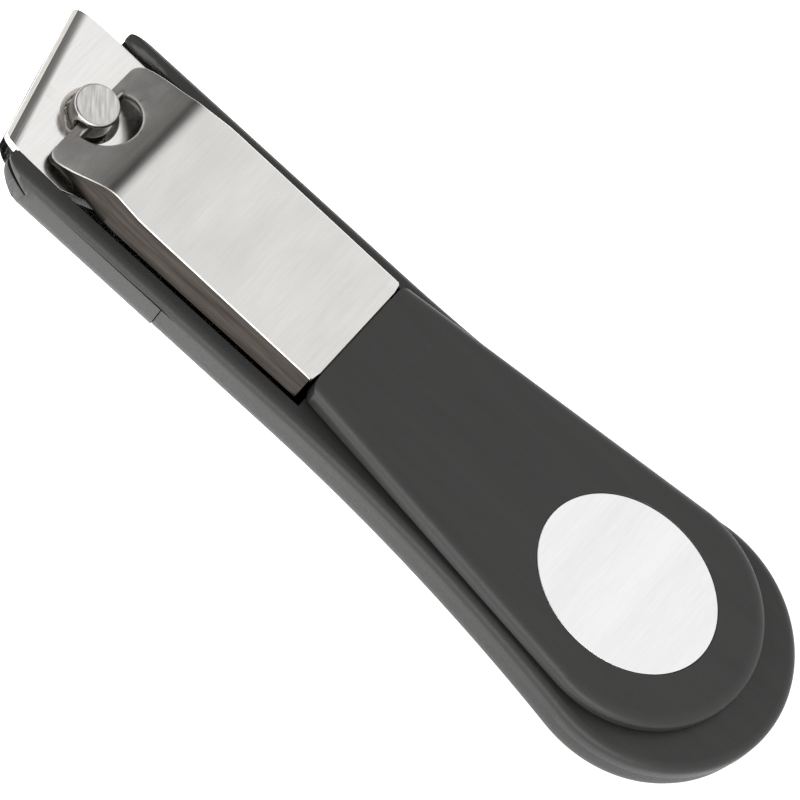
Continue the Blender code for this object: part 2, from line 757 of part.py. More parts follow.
def lean(obj):
    """Shears a level shape so that it falls towards the tail as the lever's top does."""
    drop = LEVER_FALL * (LEVER_RIDGE - CENTRE_X)
    obj.data.transform(
        Matrix(((1, 0, 0, 0), (0, 1, 0, 0), (-LEVER_FALL, 0, 1, drop), (0, 0, 0, 1)))
    )
    return obj


def make_lever_grip(material):
    """The grip has a level underside and a top that falls towards the tail."""
    height = plate_height(GRIP_FRONT) + GRIP_PROUD - LEVER_BOTTOM
    grip = prism("lever_grip", grip_outline(), 0, height)
    round_rim(grip, height, GRIP_UPPER_ROUNDING, 4)
    round_rim(grip, 0, GRIP_LOWER_ROUNDING, 2)
    for vert in grip.data.vertices:
        share = 1 - LEVER_FALL * (vert.co.x + CENTRE_X - GRIP_FRONT) / height
        vert.co.z = LEVER_BOTTOM + vert.co.z * share
    front = GRIP_FRONT - PAST
    end = TANG_END + CLOSE_GAP
    deep = TANG_DEPTH + TANG_THICKNESS + CLOSE_GAP
    outline = [
        (front, plate_height(front) - deep),
        (end, plate_height(end) - deep),
        (end, plate_height(end) - TANG_DEPTH + CLOSE_GAP),
        (front, plate_height(front) - TANG_DEPTH + CLOSE_GAP),
    ]
    half = TANG_HALF_WIDTH + CLOSE_GAP
    slot = prism("tang_slot_cutter", in_frame(outline), -half, half, "XZ")
    top = LEVER_TOP + GRIP_PROUD - INLAY_SINK
    low = top - INLAY_THICKNESS - CLOSE_GAP
    pocket = prism("inlay_pocket_cutter", oval(CLOSE_GAP), low, LEVER_TOP + PAST)
    combine(grip, grip_front_trim(), "INTERSECT")
    combine(grip, as_cutter(slot), "DIFFERENCE")
    combine(grip, as_cutter(lean(pocket)), "DIFFERENCE")
    return finish(grip, material)


def make_grip_inlay(material):
    top = LEVER_TOP + GRIP_PROUD - INLAY_SINK
    inlay = prism("grip_inlay", oval(0), top - INLAY_THICKNESS, top)
    return finish(lean(inlay), material)


def set_origin(obj, place):
    """Puts an object's origin at a place and leaves its shape where it is."""
    obj.data.transform(Matrix.Translation([-value for value in place]))
    obj.matrix_world = Matrix.Translation(place)
    return obj


clear_scene()
parts = make_collection("toenail_clipper")
cutters = make_collection("cutters")

dark_plastic = make_material("dark_plastic", (0.058, 0.058, 0.055), 0.5, 0.0)
tray_plastic = make_material("tray_plastic", (0.062, 0.062, 0.06), 0.55, 0.0)
grip_plastic = make_material("grip_plastic", (0.055, 0.055, 0.052), 0.45, 0.0)
blade_steel = make_material("blade_steel", (0.72, 0.7, 0.67), 0.25, 1.0)
post_steel = make_material("post_steel", (0.6, 0.59, 0.57), 0.3, 1.0)
rivet_steel = make_material("rivet_steel", (0.6, 0.59, 0.57), 0.35, 1.0)
lever_steel = make_material("lever_steel", (0.68, 0.67, 0.65), 0.28, 1.0)
inlay_metal = make_material("inlay_metal", (0.86, 0.86, 0.86), 0.3, 1.0)

cavity_cutter = casing_cavity("cavity_cutter")
channel_cutter = casing_channel()
make_casing_frame(dark_plastic, cavity_cutter, channel_cutter)
make_casing_tray(tray_plastic, cavity_cutter, channel_cutter)
upper_blade, upper_edge_height = make_upper_blade(blade_steel)
make_lower_blade(blade_steel, upper_edge_height)
make_rivet(rivet_steel)
make_post(post_steel)
arm = make_lever_arm(lever_steel)
grip = make_lever_grip(grip_plastic)
inlay = make_grip_inlay(inlay_metal)

set_origin(upper_blade, (RIVET_X - CENTRE_X, 0, RIVET_SPLIT))
pivot = (PIVOT_X - CENTRE_X, 0, PIVOT_HEIGHT)
set_origin(arm, pivot)
for covering in (grip, inlay):
    set_origin(covering, pivot)
bpy.context.view_layer.update()
for covering in (grip, inlay):
    place = covering.matrix_world.copy()
    covering.parent = arm
    covering.matrix_world = place
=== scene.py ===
"""Looks of the toenail clipper: fine skins for its parts, their materials, light and camera."""

import math

import bmesh
import bpy
from mathutils import Matrix, Vector


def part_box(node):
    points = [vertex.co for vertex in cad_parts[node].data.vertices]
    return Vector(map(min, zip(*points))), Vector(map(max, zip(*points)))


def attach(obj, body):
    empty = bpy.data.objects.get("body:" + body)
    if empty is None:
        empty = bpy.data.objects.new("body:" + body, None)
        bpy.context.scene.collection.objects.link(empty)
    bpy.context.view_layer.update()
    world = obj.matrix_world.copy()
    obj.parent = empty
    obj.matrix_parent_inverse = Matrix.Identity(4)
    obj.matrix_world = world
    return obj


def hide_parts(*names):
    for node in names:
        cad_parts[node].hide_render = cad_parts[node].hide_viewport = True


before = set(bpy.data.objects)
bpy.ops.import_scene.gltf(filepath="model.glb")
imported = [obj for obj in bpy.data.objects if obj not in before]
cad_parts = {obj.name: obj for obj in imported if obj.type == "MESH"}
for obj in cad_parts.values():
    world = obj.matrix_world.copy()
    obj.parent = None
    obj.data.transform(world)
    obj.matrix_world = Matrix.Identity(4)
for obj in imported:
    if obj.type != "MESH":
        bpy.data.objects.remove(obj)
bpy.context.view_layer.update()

MM = 0.001

# Places that the frame gives.
SHELL_LOW, SHELL_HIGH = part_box("casing_frame")
TRAY_LOW, TRAY_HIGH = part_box("casing_tray")
UPPER_LOW, UPPER_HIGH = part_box("upper_blade")
LOWER_LOW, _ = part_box("lower_blade")
RIVET_LOW, RIVET_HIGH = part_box("rear_rivet")
POST_LOW, POST_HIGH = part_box("pivot_post")
ARM_LOW, ARM_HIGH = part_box("lever_arm")
GRIP_LOW, GRIP_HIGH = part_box("lever_grip")
INLAY_LOW, INLAY_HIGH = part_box("grip_inlay")

# Casing. Its wings stand beside the jaws in front, and its deck closes it behind.
TIP_X = UPPER_LOW.x
TAIL_X = SHELL_HIGH.x
CASING_TOP = SHELL_HIGH.z
TAIL_RADIUS = SHELL_HIGH.y
TAIL_CENTRE = TAIL_X - TAIL_RADIUS
WING_FRONT = SHELL_LOW.x
SIDE_HALF_WIDTH = 9.2 * MM
WALL = 1.65 * MM
INNER_HALF_WIDTH = SIDE_HALF_WIDTH - WALL
FLOOR = 0.8 * MM
DECK = 1.5 * MM
LOWER_ROUNDING = 3.0 * MM
UPPER_ROUNDING = 0.9 * MM
WING_TIP_LENGTH = 4.0 * MM
WING_TIP_INSET = 1.0 * MM
FLOOR_START = TIP_X + 13.0 * MM
FLARE_START = TIP_X + 36.0 * MM
DECK_START = TIP_X + 37.0 * MM
SLIT_MOUTH = 0.6 * MM
SLIT_END = 0.2 * MM
SLIT_FRONT_HEIGHT = 5.4 * MM
SLIT_END_HEIGHT = 4.1 * MM
SLIT_LENGTH = 3.0 * MM
NOSE_HEIGHT = 4.5 * MM
NOSE_LENGTH = 6.5 * MM
NOSE_POWER = 1.7
TRAY_INSET = TAIL_X - TRAY_HIGH.x
PARTING_HEIGHT = 4.2 * MM
PARTING_FRONT_HEIGHT = 5.3 * MM
PARTING_LEVEL_START = TIP_X + 35.0 * MM
PARTING_GAP = 0.06 * MM
SHELL_EDGE = 0.07 * MM
TRAY_EDGE = 0.05 * MM

# Blades. Faces that point nearly along the ground facet, and those of the hole's rounded
# rim, by how far up they point, are of duller steel.
BLADE_THICKNESS = 1.1 * MM
JAW_HALF_WIDTH = UPPER_HIGH.y
ARM_HALF_WIDTH = 5.5 * MM
JAW_END = TIP_X + 10.0 * MM
ARM_START = TIP_X + 14.0 * MM
ARM_END = UPPER_HIGH.x
FAR_TIP = (TIP_X, 6.7 * MM)
NEAR_TIP = (TIP_X + 3.4 * MM, -6.5 * MM)
EDGE_MIDDLE = (FAR_TIP[0] + NEAR_TIP[0]) / 2
EDGE_SLANT = math.atan2(NEAR_TIP[0] - FAR_TIP[0], FAR_TIP[1] - NEAR_TIP[1])
JAW_BEND_LENGTH = 1.4 * MM
JAW_DROP = 0.24 * MM
EDGE_GRIND = 0.3 * MM
EDGE_FACE = 0.75 * MM
JAW_OPENING = 1.4 * MM
UPPER_LEVEL = 5.5 * MM
UPPER_HOLE = (TIP_X + 7.6 * MM, 2.45 * MM)
HOLE_CHAMFER = 0.5 * MM
HOLE_CHAMFER_DEPTH = 0.12 * MM
HOLE_MOUTH = 2.0 * MM
LOWER_HOLE_RADIUS = 2.35 * MM
PROFILE_REACH = 3 * JAW_HALF_WIDTH
BLADE_EDGE = 0.05 * MM
GROUND_MATCH = 0.97
RIM_NORMALS = (0.3, 0.998)

# Rivet. The split is the height of the upper strip's underside there.
RIVET_X = (RIVET_LOW.x + RIVET_HIGH.x) / 2
RIVET_RADIUS = 1.2 * MM
RIVET_HOLE_RADIUS = 1.5 * MM
RIVET_WELL_RADIUS = 2.4 * MM
RIVET_SPLIT = 2.3 * MM
STRIP_GAP = 0.2 * MM
RIVET_RIM = 0.3 * MM
RIVET_FOOT = 0.5 * MM
DOME_START = 10
DOME_STEPS = 8
FOOT_CHAMFER = 0.15 * MM

# Post. The faces of its top, found by height and by how far up they point, are sawn steel.
POST_X = (POST_LOW.x + POST_HIGH.x) / 2
POST_RADIUS = 2.05 * MM
POST_FOOT = 0.6 * MM
POST_CHAMFER = 0.22 * MM
POST_CHAMFER_BULGE = (0.4, 0.35)
POST_EDGE = 0.04 * MM
NOTCH_PLAY = 0.12 * MM
TOP_NORMAL = 0.99
HAIR = 0.01 * MM

# Lever. The tongue's depth is its thickness measured upright. The swell, waist and spread
# are the changes in its width from the front corners to the plate.
LEVER_FRONT = ARM_LOW.x
LEVER_RIDGE = TIP_X + 13.5 * MM
LEVER_TOP = ARM_HIGH.z
LEVER_FALL = 0.019
LEVER_SEAT = GRIP_LOW.z
TONGUE_THICKNESS = 0.8 * MM
TONGUE_TOP = 6.65 * MM
TONGUE_HALF_WIDTH = 6.3 * MM
TONGUE_CORNER = 1.0 * MM
REAR_CORNER = 0.5 * MM
REAR_CORNER_SHARE = 0.9
BEND_REACH = 0.7 * MM
BEND_SPREAD = 1.6
BAR_WIDTH = 0.9 * MM
EYE_RADIUS = 2.95 * MM
EYE_SETBACK = 1.42 * MM
EYE_FLARE = 0.28 * MM
EYE_FLARE_MOST = 0.3 * MM
EYE_DEPTH = 3.0 * MM
TONGUE_SLOPE = (LEVER_TOP - TONGUE_TOP) / (LEVER_RIDGE - LEVER_FRONT)
TONGUE_STRETCH = math.hypot(1, TONGUE_SLOPE)
TONGUE_DEPTH = TONGUE_THICKNESS * TONGUE_STRETCH
TONGUE_SWELL = 0.12 * MM
TONGUE_SWELL_LENGTH = 1.6 * MM
WAIST_HALF_WIDTH = 6.02 * MM
WAIST_START = 1.5 * MM
WAIST_LENGTH = 4.4 * MM
PLATE_SPREAD = 0.33 * MM
PLATE_SPREAD_LENGTH = 4.0 * MM
SIDE_OVERHANG = 0.05 * MM
SIDE_SPREAD = 1.03 * MM
SIDE_SPREAD_LENGTH = 9.0 * MM
LEVER_ROUNDING = 0.22 * MM
LEVER_ROUNDING_SHARE = 0.4
LEVER_EDGE = 0.04 * MM
TOP_ROWS = 7
ROUNDING_ROWS = 6
SIDE_ROWS = 3
CORNER_STEPS = 9
TONGUE_STEPS = 16
BEND_STEPS = 16
PLATE_STEPS = 20
EYE_STEPS = 72
EYE_FLAT_STEPS = 13
EYE_FLARE_STEPS = 7

# Grip, with the lever's tang inside it and the inlay let into its top.
CLOSE_GAP = 0.15 * MM
GRIP_FRONT = GRIP_LOW.x
LEVER_END = GRIP_FRONT - CLOSE_GAP
GRIP_TAIL_RADIUS = GRIP_HIGH.y
GRIP_TAIL_CENTRE = GRIP_HIGH.x - GRIP_TAIL_RADIUS
GRIP_FRONT_HALF_WIDTH = 6.95 * MM
GRIP_CORNER = 1.5 * MM
GRIP_UPPER_ROUNDING = 1.2 * MM
GRIP_LOWER_ROUNDING = 0.35 * MM
GRIP_PROUD = 0.06 * MM
INLAY_SINK = 0.04 * MM
INLAY_THICKNESS = 0.6 * MM
INLAY_X = (INLAY_LOW.x + INLAY_HIGH.x) / 2
INLAY_HALF_LENGTH = (INLAY_HIGH.x - INLAY_LOW.x) / 2
INLAY_HALF_WIDTH = INLAY_HIGH.y
INLAY_EDGE = 0.08 * MM
INLAY_EDGE_STEPS = 5
INLAY_STEPS = 160
TANG_LAP = 3.0 * MM
TANG_END = TIP_X + 57.0 * MM
TANG_HALF_WIDTH = 5.0 * MM
TANG_THICKNESS = 0.7 * MM
TANG_DEPTH = 0.65 * MM

# The inlay's pocket, down its wall: (depth below the grip's top, room round the inlay).
POCKET_WALL = (
    (-0.1 * MM, 0.16 * MM),
    (0.0 * MM, 0.12 * MM),
    (0.05 * MM, 0.06 * MM),
    (0.12 * MM, 0.03 * MM),
    (0.7 * MM, 0.03 * MM),
)

# Cutters run past what they cut, and across all of the casing's width.
PAST = 5.0 * MM
ACROSS = 2 * TAIL_RADIUS
ROUND_STEPS = 96
HOLE_STEPS = 60
CURVE_STEPS = 16

# Spans that most of a noise's values lie in.
NOISE_SPAN = (0.3, 0.7)
NOISE_CORE = (0.35, 0.65)

# Looks that several materials share, and the far wing's scuff.
BRUSHING_RELIEF = 0.0006 * MM
PLASTIC_RELIEF = 0.014 * MM
DARK_PLASTIC = (0.029, 0.0285, 0.0275)
SHELL_PLASTIC = (0.028, 0.0275, 0.0265)
SCUFFED_PLASTIC = (0.11, 0.108, 0.103)
SCUFF_SETBACK = 2.6 * MM
SCUFF_REACH = (3.4 * MM, 0.75 * MM, 0.9 * MM)

# Painted shade on the lever's tongue: where it deepens towards the bend, and where it fades out
# into the plate, as distances from its ridge.
BEND_PAINTED_SHADE = (-3.6 * MM, -0.5 * MM)
PAINTED_SHADE_FADE = (-0.3 * MM, 1.1 * MM)

# View: from the near side, well above, with the clipper lying diagonally.
VIEW_ELEVATION = math.radians(60)
VIEW_ROLL = math.radians(42.3)
VIEW_DISTANCE = 0.5
VIEW_WIDTH = 67.6 * MM
VIEW_TARGET = Vector((TIP_X + 43.0 * MM, -0.53 * MM, CASING_TOP))
SENSOR = 36.0
NEAREST_SEEN = 0.01

# Studio: a glowing table, brighter at the clipper's front, a low light on the near side,
# and a world with a dark flag.
TABLE_HALF_SIZE = 1.5
FRONT_GLOW = 1.9
TAIL_GLOW = 1.1
LIGHT_PLACE = (0.0, -0.35, 0.14)
LIGHT_SIZE = (0.6, 0.2)
LIGHT_POWER = 1.0

# The world's brightness by direction: (share of the way from -X to +X, brightness).
WORLD_BAND = (
    (0.0, 0.95),
    (0.10, 0.80),
    (0.18, 0.38),
    (0.25, 0.12),
    (0.33, 0.16),
    (0.44, 0.85),
    (0.50, 1.0),
    (1.0, 1.0),
)


# Shapes.


def link(name, mesh):
    obj = bpy.data.objects.new(name, mesh)
    bpy.context.scene.collection.objects.link(obj)
    return obj


def settle(obj):
    """Applies an object's modifiers to its mesh."""
    bpy.context.view_layer.update()
    graph = bpy.context.evaluated_depsgraph_get()
    mesh = bpy.data.meshes.new_from_object(obj.evaluated_get(graph))
    obj.modifiers.clear()
    obj.data = mesh
    return obj


def combine(target, other, operation="DIFFERENCE"):
    """Applies a Boolean between two meshes, removes the second and returns the first."""
    modifier = target.modifiers.new(operation, "BOOLEAN")
    modifier.operation = operation
    modifier.solver = "EXACT"
    modifier.object = other
    settle(target)
    bpy.data.objects.remove(other, do_unlink=True)
    return target


def prism(name, outline, low, high, plane="XY"):
    """Extrudes an outline, drawn in plane XY or XZ, from low to high across that plane."""
    solid = bmesh.new()
    if plane == "XY":
        ends = [[(x, y, level) for x, y in outline] for level in (low, high)]
    else:
        ends = [[(x, level, z) for x, z in outline] for level in (low, high)]
    rings = [[solid.verts.new(point) for point in end] for end in ends]
    count = len(outline)
    for index in range(count):
        after = (index + 1) % count
        solid.faces.new(
            (rings[0][index], rings[0][after], rings[1][after], rings[1][index])
        )
    solid.faces.new(rings[0])
    solid.faces.new(rings[1])
    return from_bmesh(name, solid)


def from_bmesh(name, solid):
    """Turns a bmesh into an object whose faces point outwards."""
    bmesh.ops.recalc_face_normals(solid, faces=solid.faces)
    mesh = bpy.data.meshes.new(name)
    solid.to_mesh(mesh)
    solid.free()
    return link(name, mesh)


def lofted(name, rings):
    """Joins closed rings of equally many points into a solid with flat ends."""
    solid = bmesh.new()
    rows = [[solid.verts.new(point) for point in ring] for ring in rings]
    count = len(rows[0])
    for first, second in zip(rows, rows[1:]):
        for index in range(count):
            after = (index + 1) % count
            solid.faces.new((first[index], first[after], second[after], second[index]))
    solid.faces.new(rows[0])
    solid.faces.new(rows[-1])
    return from_bmesh(name, solid)


def turned(name, profile, centre):
    """Spins a profile of (radius, height) points about a vertical axis."""
    rings = []
    for radius, height in profile:
        ring = []
        for step in range(ROUND_STEPS):
            angle = 2 * math.pi * step / ROUND_STEPS
            across = (radius * math.cos(angle), radius * math.sin(angle))
            ring.append((centre[0] + across[0], centre[1] + across[1], height))
        rings.append(ring)
    return lofted(name, rings)


def arc(centre, radius, start, end, steps=24):
    """Points on a round stretch between two angles in degrees, both ends included."""
    found = []
    for step in range(steps + 1):
        angle = math.radians(start + (end - start) * step / steps)
        found.append(
            (
                centre[0] + radius * math.cos(angle),
                centre[1] + radius * math.sin(angle),
            )
        )
    return found


def circle(centre, radius):
    return arc(centre, radius, 0, 360 - 360 / HOLE_STEPS, HOLE_STEPS - 1)


def mirrored(half):
    """An outline made of its +Y half, front to back, and that half's mirror image."""
    return half + [(x, -y) for x, y in reversed(half)]


def rectangle(left, right, low, high):
    return [(left, low), (right, low), (right, high), (left, high)]


def rounded_levels(low, high, lower, upper, steps=8):
    """(height, inset) pairs up a wall whose lower and upper edges are rounded."""
    levels = []
    for step in range(steps + 1):
        angle = math.radians(90 * step / steps)
        levels.append(
            (low + lower * (1 - math.cos(angle)), lower * (1 - math.sin(angle)))
        )
    for step in range(steps + 1):
        angle = math.radians(90 * step / steps)
        levels.append(
            (high - upper * (1 - math.sin(angle)), upper * (1 - math.cos(angle)))
        )
    return levels


def smooth(obj, angle=35):
    """Shades an object smooth, except across edges sharper than the angle."""
    obj.data.shade_smooth()
    obj.data.set_sharp_from_angle(angle=math.radians(angle))
    return obj


def soften(obj, width, angle=45):
    """Gives an object's sharp edges a narrow rounding."""
    bevel = obj.modifiers.new("Soften", "BEVEL")
    bevel.width = width
    bevel.segments = 2
    bevel.limit_method = "ANGLE"
    bevel.angle_limit = math.radians(angle)
    bevel.use_clamp_overlap = False
    return settle(obj)


def weigh(obj):
    """Keeps flat faces flat where smooth roundings meet them."""
    modifier = obj.modifiers.new("Weighted normals", "WEIGHTED_NORMAL")
    modifier.keep_sharp = True
    modifier.weight = 90
    return obj


def dress(obj, body, node, slot, *materials):
    """Puts a finished skin in a CAD node's place, with its materials."""
    for material in materials:
        obj.data.materials.append(material)
    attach(obj, body)
    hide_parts(node)


# Casing.


def flare_end():
    """The angle in degrees where the flare meets the tail's round end, and that point.

    The flare is a parabola. Halving the span finds the angle at which both slopes agree.
    """
    low, high = 90.0, 130.0
    for _ in range(40):
        angle = (low + high) / 2
        x = TAIL_CENTRE + TAIL_RADIUS * math.cos(math.radians(angle))
        y = TAIL_RADIUS * math.sin(math.radians(angle))
        flare_slope = 2 * (y - SIDE_HALF_WIDTH) / (x - FLARE_START)
        if -1 / math.tan(math.radians(angle)) > flare_slope:
            high = angle
        else:
            low = angle
    return angle, (x, y)


def casing_outline(inset):
    """The casing's plan, drawn in from its outer face by the inset."""
    angle, (flare_x, flare_y) = flare_end()
    half = [(WING_FRONT, SIDE_HALF_WIDTH - inset)]
    steps = 36
    for step in range(steps + 1):
        share = step / steps
        x = FLARE_START + (flare_x - FLARE_START) * share
        y = SIDE_HALF_WIDTH + (flare_y - SIDE_HALF_WIDTH) * share**2
        half.append((x, y - inset))
    half.extend(arc((TAIL_CENTRE, 0), TAIL_RADIUS - inset, angle, 0, 48)[1:])
    return half + [(x, -y) for x, y in reversed(half[:-1])]


def casing_body(name, inset):
    """The casing as a solid with rounded edges, drawn in by the inset."""
    rings = []
    for height, drawn in rounded_levels(0, CASING_TOP, LOWER_ROUNDING, UPPER_ROUNDING):
        rings.append([(x, y, height) for x, y in casing_outline(inset + drawn)])
    return lofted(name, rings)


def wing_plan():
    """A block that leaves the casing as it is, but draws in the tips of its wings."""
    half = []
    for step in range(CURVE_STEPS + 1):
        turn = math.radians(90 * step / CURVE_STEPS)
        half.append(
            (
                WING_FRONT + WING_TIP_LENGTH * (1 - math.cos(turn)),
                SIDE_HALF_WIDTH - WING_TIP_INSET * (1 - math.sin(turn)),
            )
        )
    half.append((WING_FRONT + WING_TIP_LENGTH, ACROSS))
    half.append((TAIL_X + PAST, ACROSS))
    return prism("wing_plan", mirrored(half), -PAST, CASING_TOP + PAST)


def hollow_out(shell):
    """Cuts the hollow between floor and deck, and the channel that is open above."""
    sides = (-INNER_HALF_WIDTH, INNER_HALF_WIDTH)
    ceiling = CASING_TOP - DECK
    combine(shell, prism("hollow", casing_outline(WALL), FLOOR, ceiling))
    mouth = rectangle(TIP_X - PAST, FLARE_START, *sides)
    combine(shell, prism("mouth", mouth, FLOOR, ceiling))
    channel = rectangle(TIP_X - PAST, DECK_START, *sides)
    combine(shell, prism("channel", channel, ceiling - FLOOR, CASING_TOP + PAST))


def tray_space(gap):
    """The space below the sloping seam between the two shells, grown by the gap."""
    outline = [
        (TRAY_LOW.x - gap, -PAST),
        (TAIL_X + PAST, -PAST),
        (TAIL_X + PAST, PARTING_HEIGHT + gap),
        (PARTING_LEVEL_START, PARTING_HEIGHT + gap),
        (TRAY_LOW.x - gap, PARTING_FRONT_HEIGHT + gap),
    ]
    return prism("tray_space", outline, -ACROSS, ACROSS, "XZ")


def wing_slit():
    """The slanted cut, wide at its mouth, that splits each wing's front into two prongs."""
    lean = math.atan2(SLIT_FRONT_HEIGHT - SLIT_END_HEIGHT, SLIT_LENGTH)
    end = (WING_FRONT + SLIT_LENGTH, SLIT_END_HEIGHT)
    turn = 90 - math.degrees(lean)
    mouth = (end[0] - 2 * SLIT_LENGTH, end[1] + 2 * SLIT_LENGTH * math.tan(lean))
    half = SLIT_MOUTH - SLIT_END / 2
    across = (half * math.sin(lean), half * math.cos(lean))
    outline = [(mouth[0] + across[0], mouth[1] + across[1])]
    outline.extend(arc(end, SLIT_END / 2, turn, turn - 180, 8))
    outline.append((mouth[0] - across[0], mouth[1] - across[1]))
    return prism("slit", outline, -ACROSS, ACROSS, "XZ")


def wing_nose():
    """The space below each wing's front, whose lower corner is swept up."""
    outline = [(TIP_X - PAST, -PAST), (TIP_X - PAST, NOSE_HEIGHT)]
    steps = 20
    for step in range(steps + 1):
        share = step / steps
        outline.append(
            (WING_FRONT + NOSE_LENGTH * share**NOSE_POWER, NOSE_HEIGHT * (1 - share))
        )
    outline.append((WING_FRONT + NOSE_LENGTH, -PAST))
    return prism("nose", outline, -ACROSS, ACROSS, "XZ")


def make_shell(material):
    """The upper shell, with its wings, and open below the jaws."""
    shell = casing_body("casing_shell", 0)
    combine(shell, wing_plan(), "INTERSECT")
    hollow_out(shell)
    mouth = rectangle(TIP_X - PAST, FLOOR_START, -INNER_HALF_WIDTH, INNER_HALF_WIDTH)
    combine(shell, prism("floor_mouth", mouth, -PAST, 2 * FLOOR))
    combine(shell, tray_space(PARTING_GAP / 2))
    combine(shell, wing_slit())
    combine(shell, wing_nose())
    smooth(soften(shell, SHELL_EDGE))
    dress(weigh(shell), "casing", "casing_frame", "frame_plastic", material)


def make_tray(material):
    """The lower shell, with a well in its floor for the rivet's foot."""
    tray = casing_body("tray_shell", TRAY_INSET)
    combine(tray, tray_space(-PARTING_GAP / 2), "INTERSECT")
    hollow_out(tray)
    well = circle((RIVET_X, 0), RIVET_WELL_RADIUS)
    combine(tray, prism("rivet_well", well, -PAST, 2 * FLOOR))
    smooth(soften(tray, TRAY_EDGE))
    dress(weigh(tray), "casing", "casing_tray", "tray_plastic", material)


# Blades.


def blade_plan():
    """The blades' plan: a slanted front edge, wide jaws and a narrow arm."""
    far_x, far_y = FAR_TIP
    near_x, near_y = NEAR_TIP
    outline = [FAR_TIP]
    for step in range(1, CURVE_STEPS + 1):
        turn = math.radians(90 * step / CURVE_STEPS)
        x = far_x + (WING_FRONT - far_x) * (1 - math.cos(turn))
        outline.append((x, far_y + (JAW_HALF_WIDTH - far_y) * math.sin(turn)))
    outline.append((JAW_END, JAW_HALF_WIDTH))
    outline.append((ARM_START, ARM_HALF_WIDTH))
    corner = ARM_HALF_WIDTH / 2
    outline.extend(arc((ARM_END - corner, corner), corner, 90, 0, 12))
    outline.extend(arc((ARM_END - corner, -corner), corner, 0, -90, 12))
    outline.append((ARM_START, -ARM_HALF_WIDTH))
    outline.append((JAW_END, -JAW_HALF_WIDTH))
    for step in range(CURVE_STEPS - 1, 0, -1):
        turn = math.radians(90 * step / CURVE_STEPS)
        x = near_x + (JAW_END - near_x) * (1 - math.cos(turn)) / 2
        outline.append((x, near_y - (JAW_HALF_WIDTH + near_y) * math.sin(turn)))
    outline.append(NEAR_TIP)
    return outline


def jaw_curve(edge_height, level, steps=20):
    """A smooth rise from the cutting edge to the flat behind it, front to back."""
    found = []
    for step in range(steps + 1):
        share = step / steps
        rise = math.sin(math.radians(90 * share))
        height = edge_height + (level - edge_height) * rise
        found.append((EDGE_MIDDLE + JAW_BEND_LENGTH * share, height))
    return found


def slanted(obj):
    """Turns a side profile so that it runs along the slanted cutting edge."""
    middle = Matrix.Translation((EDGE_MIDDLE, 0, 0))
    turn = middle @ Matrix.Rotation(EDGE_SLANT, 4, "Z") @ middle.inverted()
    obj.data.transform(turn)
    return obj


def flared_hole(name, centre, radius, top, flare, depth, steps=8):
    """A cutter for a round hole whose rim is rounded over at the given height."""
    rim = radius + flare
    profile = [(rim + HOLE_MOUTH, top + 2 * depth), (rim, top)]
    for step in range(1, steps + 1):
        angle = math.radians(90 * step / steps)
        height = top - depth * (1 - math.cos(angle))
        profile.append((radius + flare * (1 - math.sin(angle)), height))
    profile.append((radius, -PAST))
    return turned(name, profile, centre)


def finish_blade(blade, hole, top):
    """Trims a blade to its plan and drills it for the post and the rivet."""
    combine(blade, prism("plan", blade_plan(), -PAST, LEVER_TOP), "INTERSECT")
    soften(blade, BLADE_EDGE, 50)
    chamfer = (top, HOLE_CHAMFER, HOLE_CHAMFER_DEPTH)
    combine(blade, flared_hole("post_hole", (hole[0], 0), hole[1], *chamfer))
    rivet_hole = circle((RIVET_X, 0), RIVET_HOLE_RADIUS)
    combine(blade, prism("rivet_hole", rivet_hole, -PAST, LEVER_TOP))
    smooth(blade)


def make_upper_blade(steel, ground):
    """The upper strip: its arm rises from the rivet and its jaw turns down to the edge.

    Returns the height of the underside of its cutting edge.
    """
    slope = (UPPER_LEVEL - RIVET_SPLIT - BLADE_THICKNESS) / (RIVET_X - POST_X)
    level = UPPER_LEVEL - slope * (EDGE_MIDDLE + JAW_BEND_LENGTH - POST_X)
    tail = UPPER_LEVEL - slope * (ARM_END + PAST - POST_X)
    top = jaw_curve(level - JAW_DROP, level)
    lip = (EDGE_MIDDLE, top[0][1] - EDGE_GRIND / 2)
    ridge = (EDGE_MIDDLE + EDGE_GRIND, top[0][1] + EDGE_GRIND / 2)
    under = jaw_curve(lip[1] - EDGE_FACE, level - BLADE_THICKNESS)
    profile = [lip, ridge]
    profile.extend(point for point in top if point[0] > ridge[0])
    profile.append((ARM_END + PAST, tail))
    profile.append((ARM_END + PAST, tail - BLADE_THICKNESS))
    profile.extend(reversed(under))
    strip = prism("upper_jaw_blade", profile, -PROFILE_REACH, PROFILE_REACH, "XZ")
    blade = slanted(strip)
    hole_top = UPPER_LEVEL - slope * (UPPER_HOLE[0] - POST_X)
    finish_blade(blade, UPPER_HOLE, hole_top)
    dress(weigh(blade), "upper_jaw", "upper_blade", "blade_steel", steel, ground)
    facet = Matrix.Rotation(EDGE_SLANT, 3, "Z") @ Vector((-1, 0, 1)).normalized()
    steepest, flattest = RIM_NORMALS
    for polygon in blade.data.polygons:
        ahead = polygon.center.x < UPPER_HOLE[0] - UPPER_HOLE[1]
        along = polygon.normal.dot(facet) > GROUND_MATCH
        from_hole = math.hypot(polygon.center.x - UPPER_HOLE[0], polygon.center.y)
        on_edge = along and ahead and polygon.center.z > lip[1]
        near_rim = from_hole < UPPER_HOLE[1] + HOLE_CHAMFER
        if on_edge or near_rim and steepest < polygon.normal.z < flattest:
            polygon.material_index = 1
    return lip[1] - EDGE_FACE


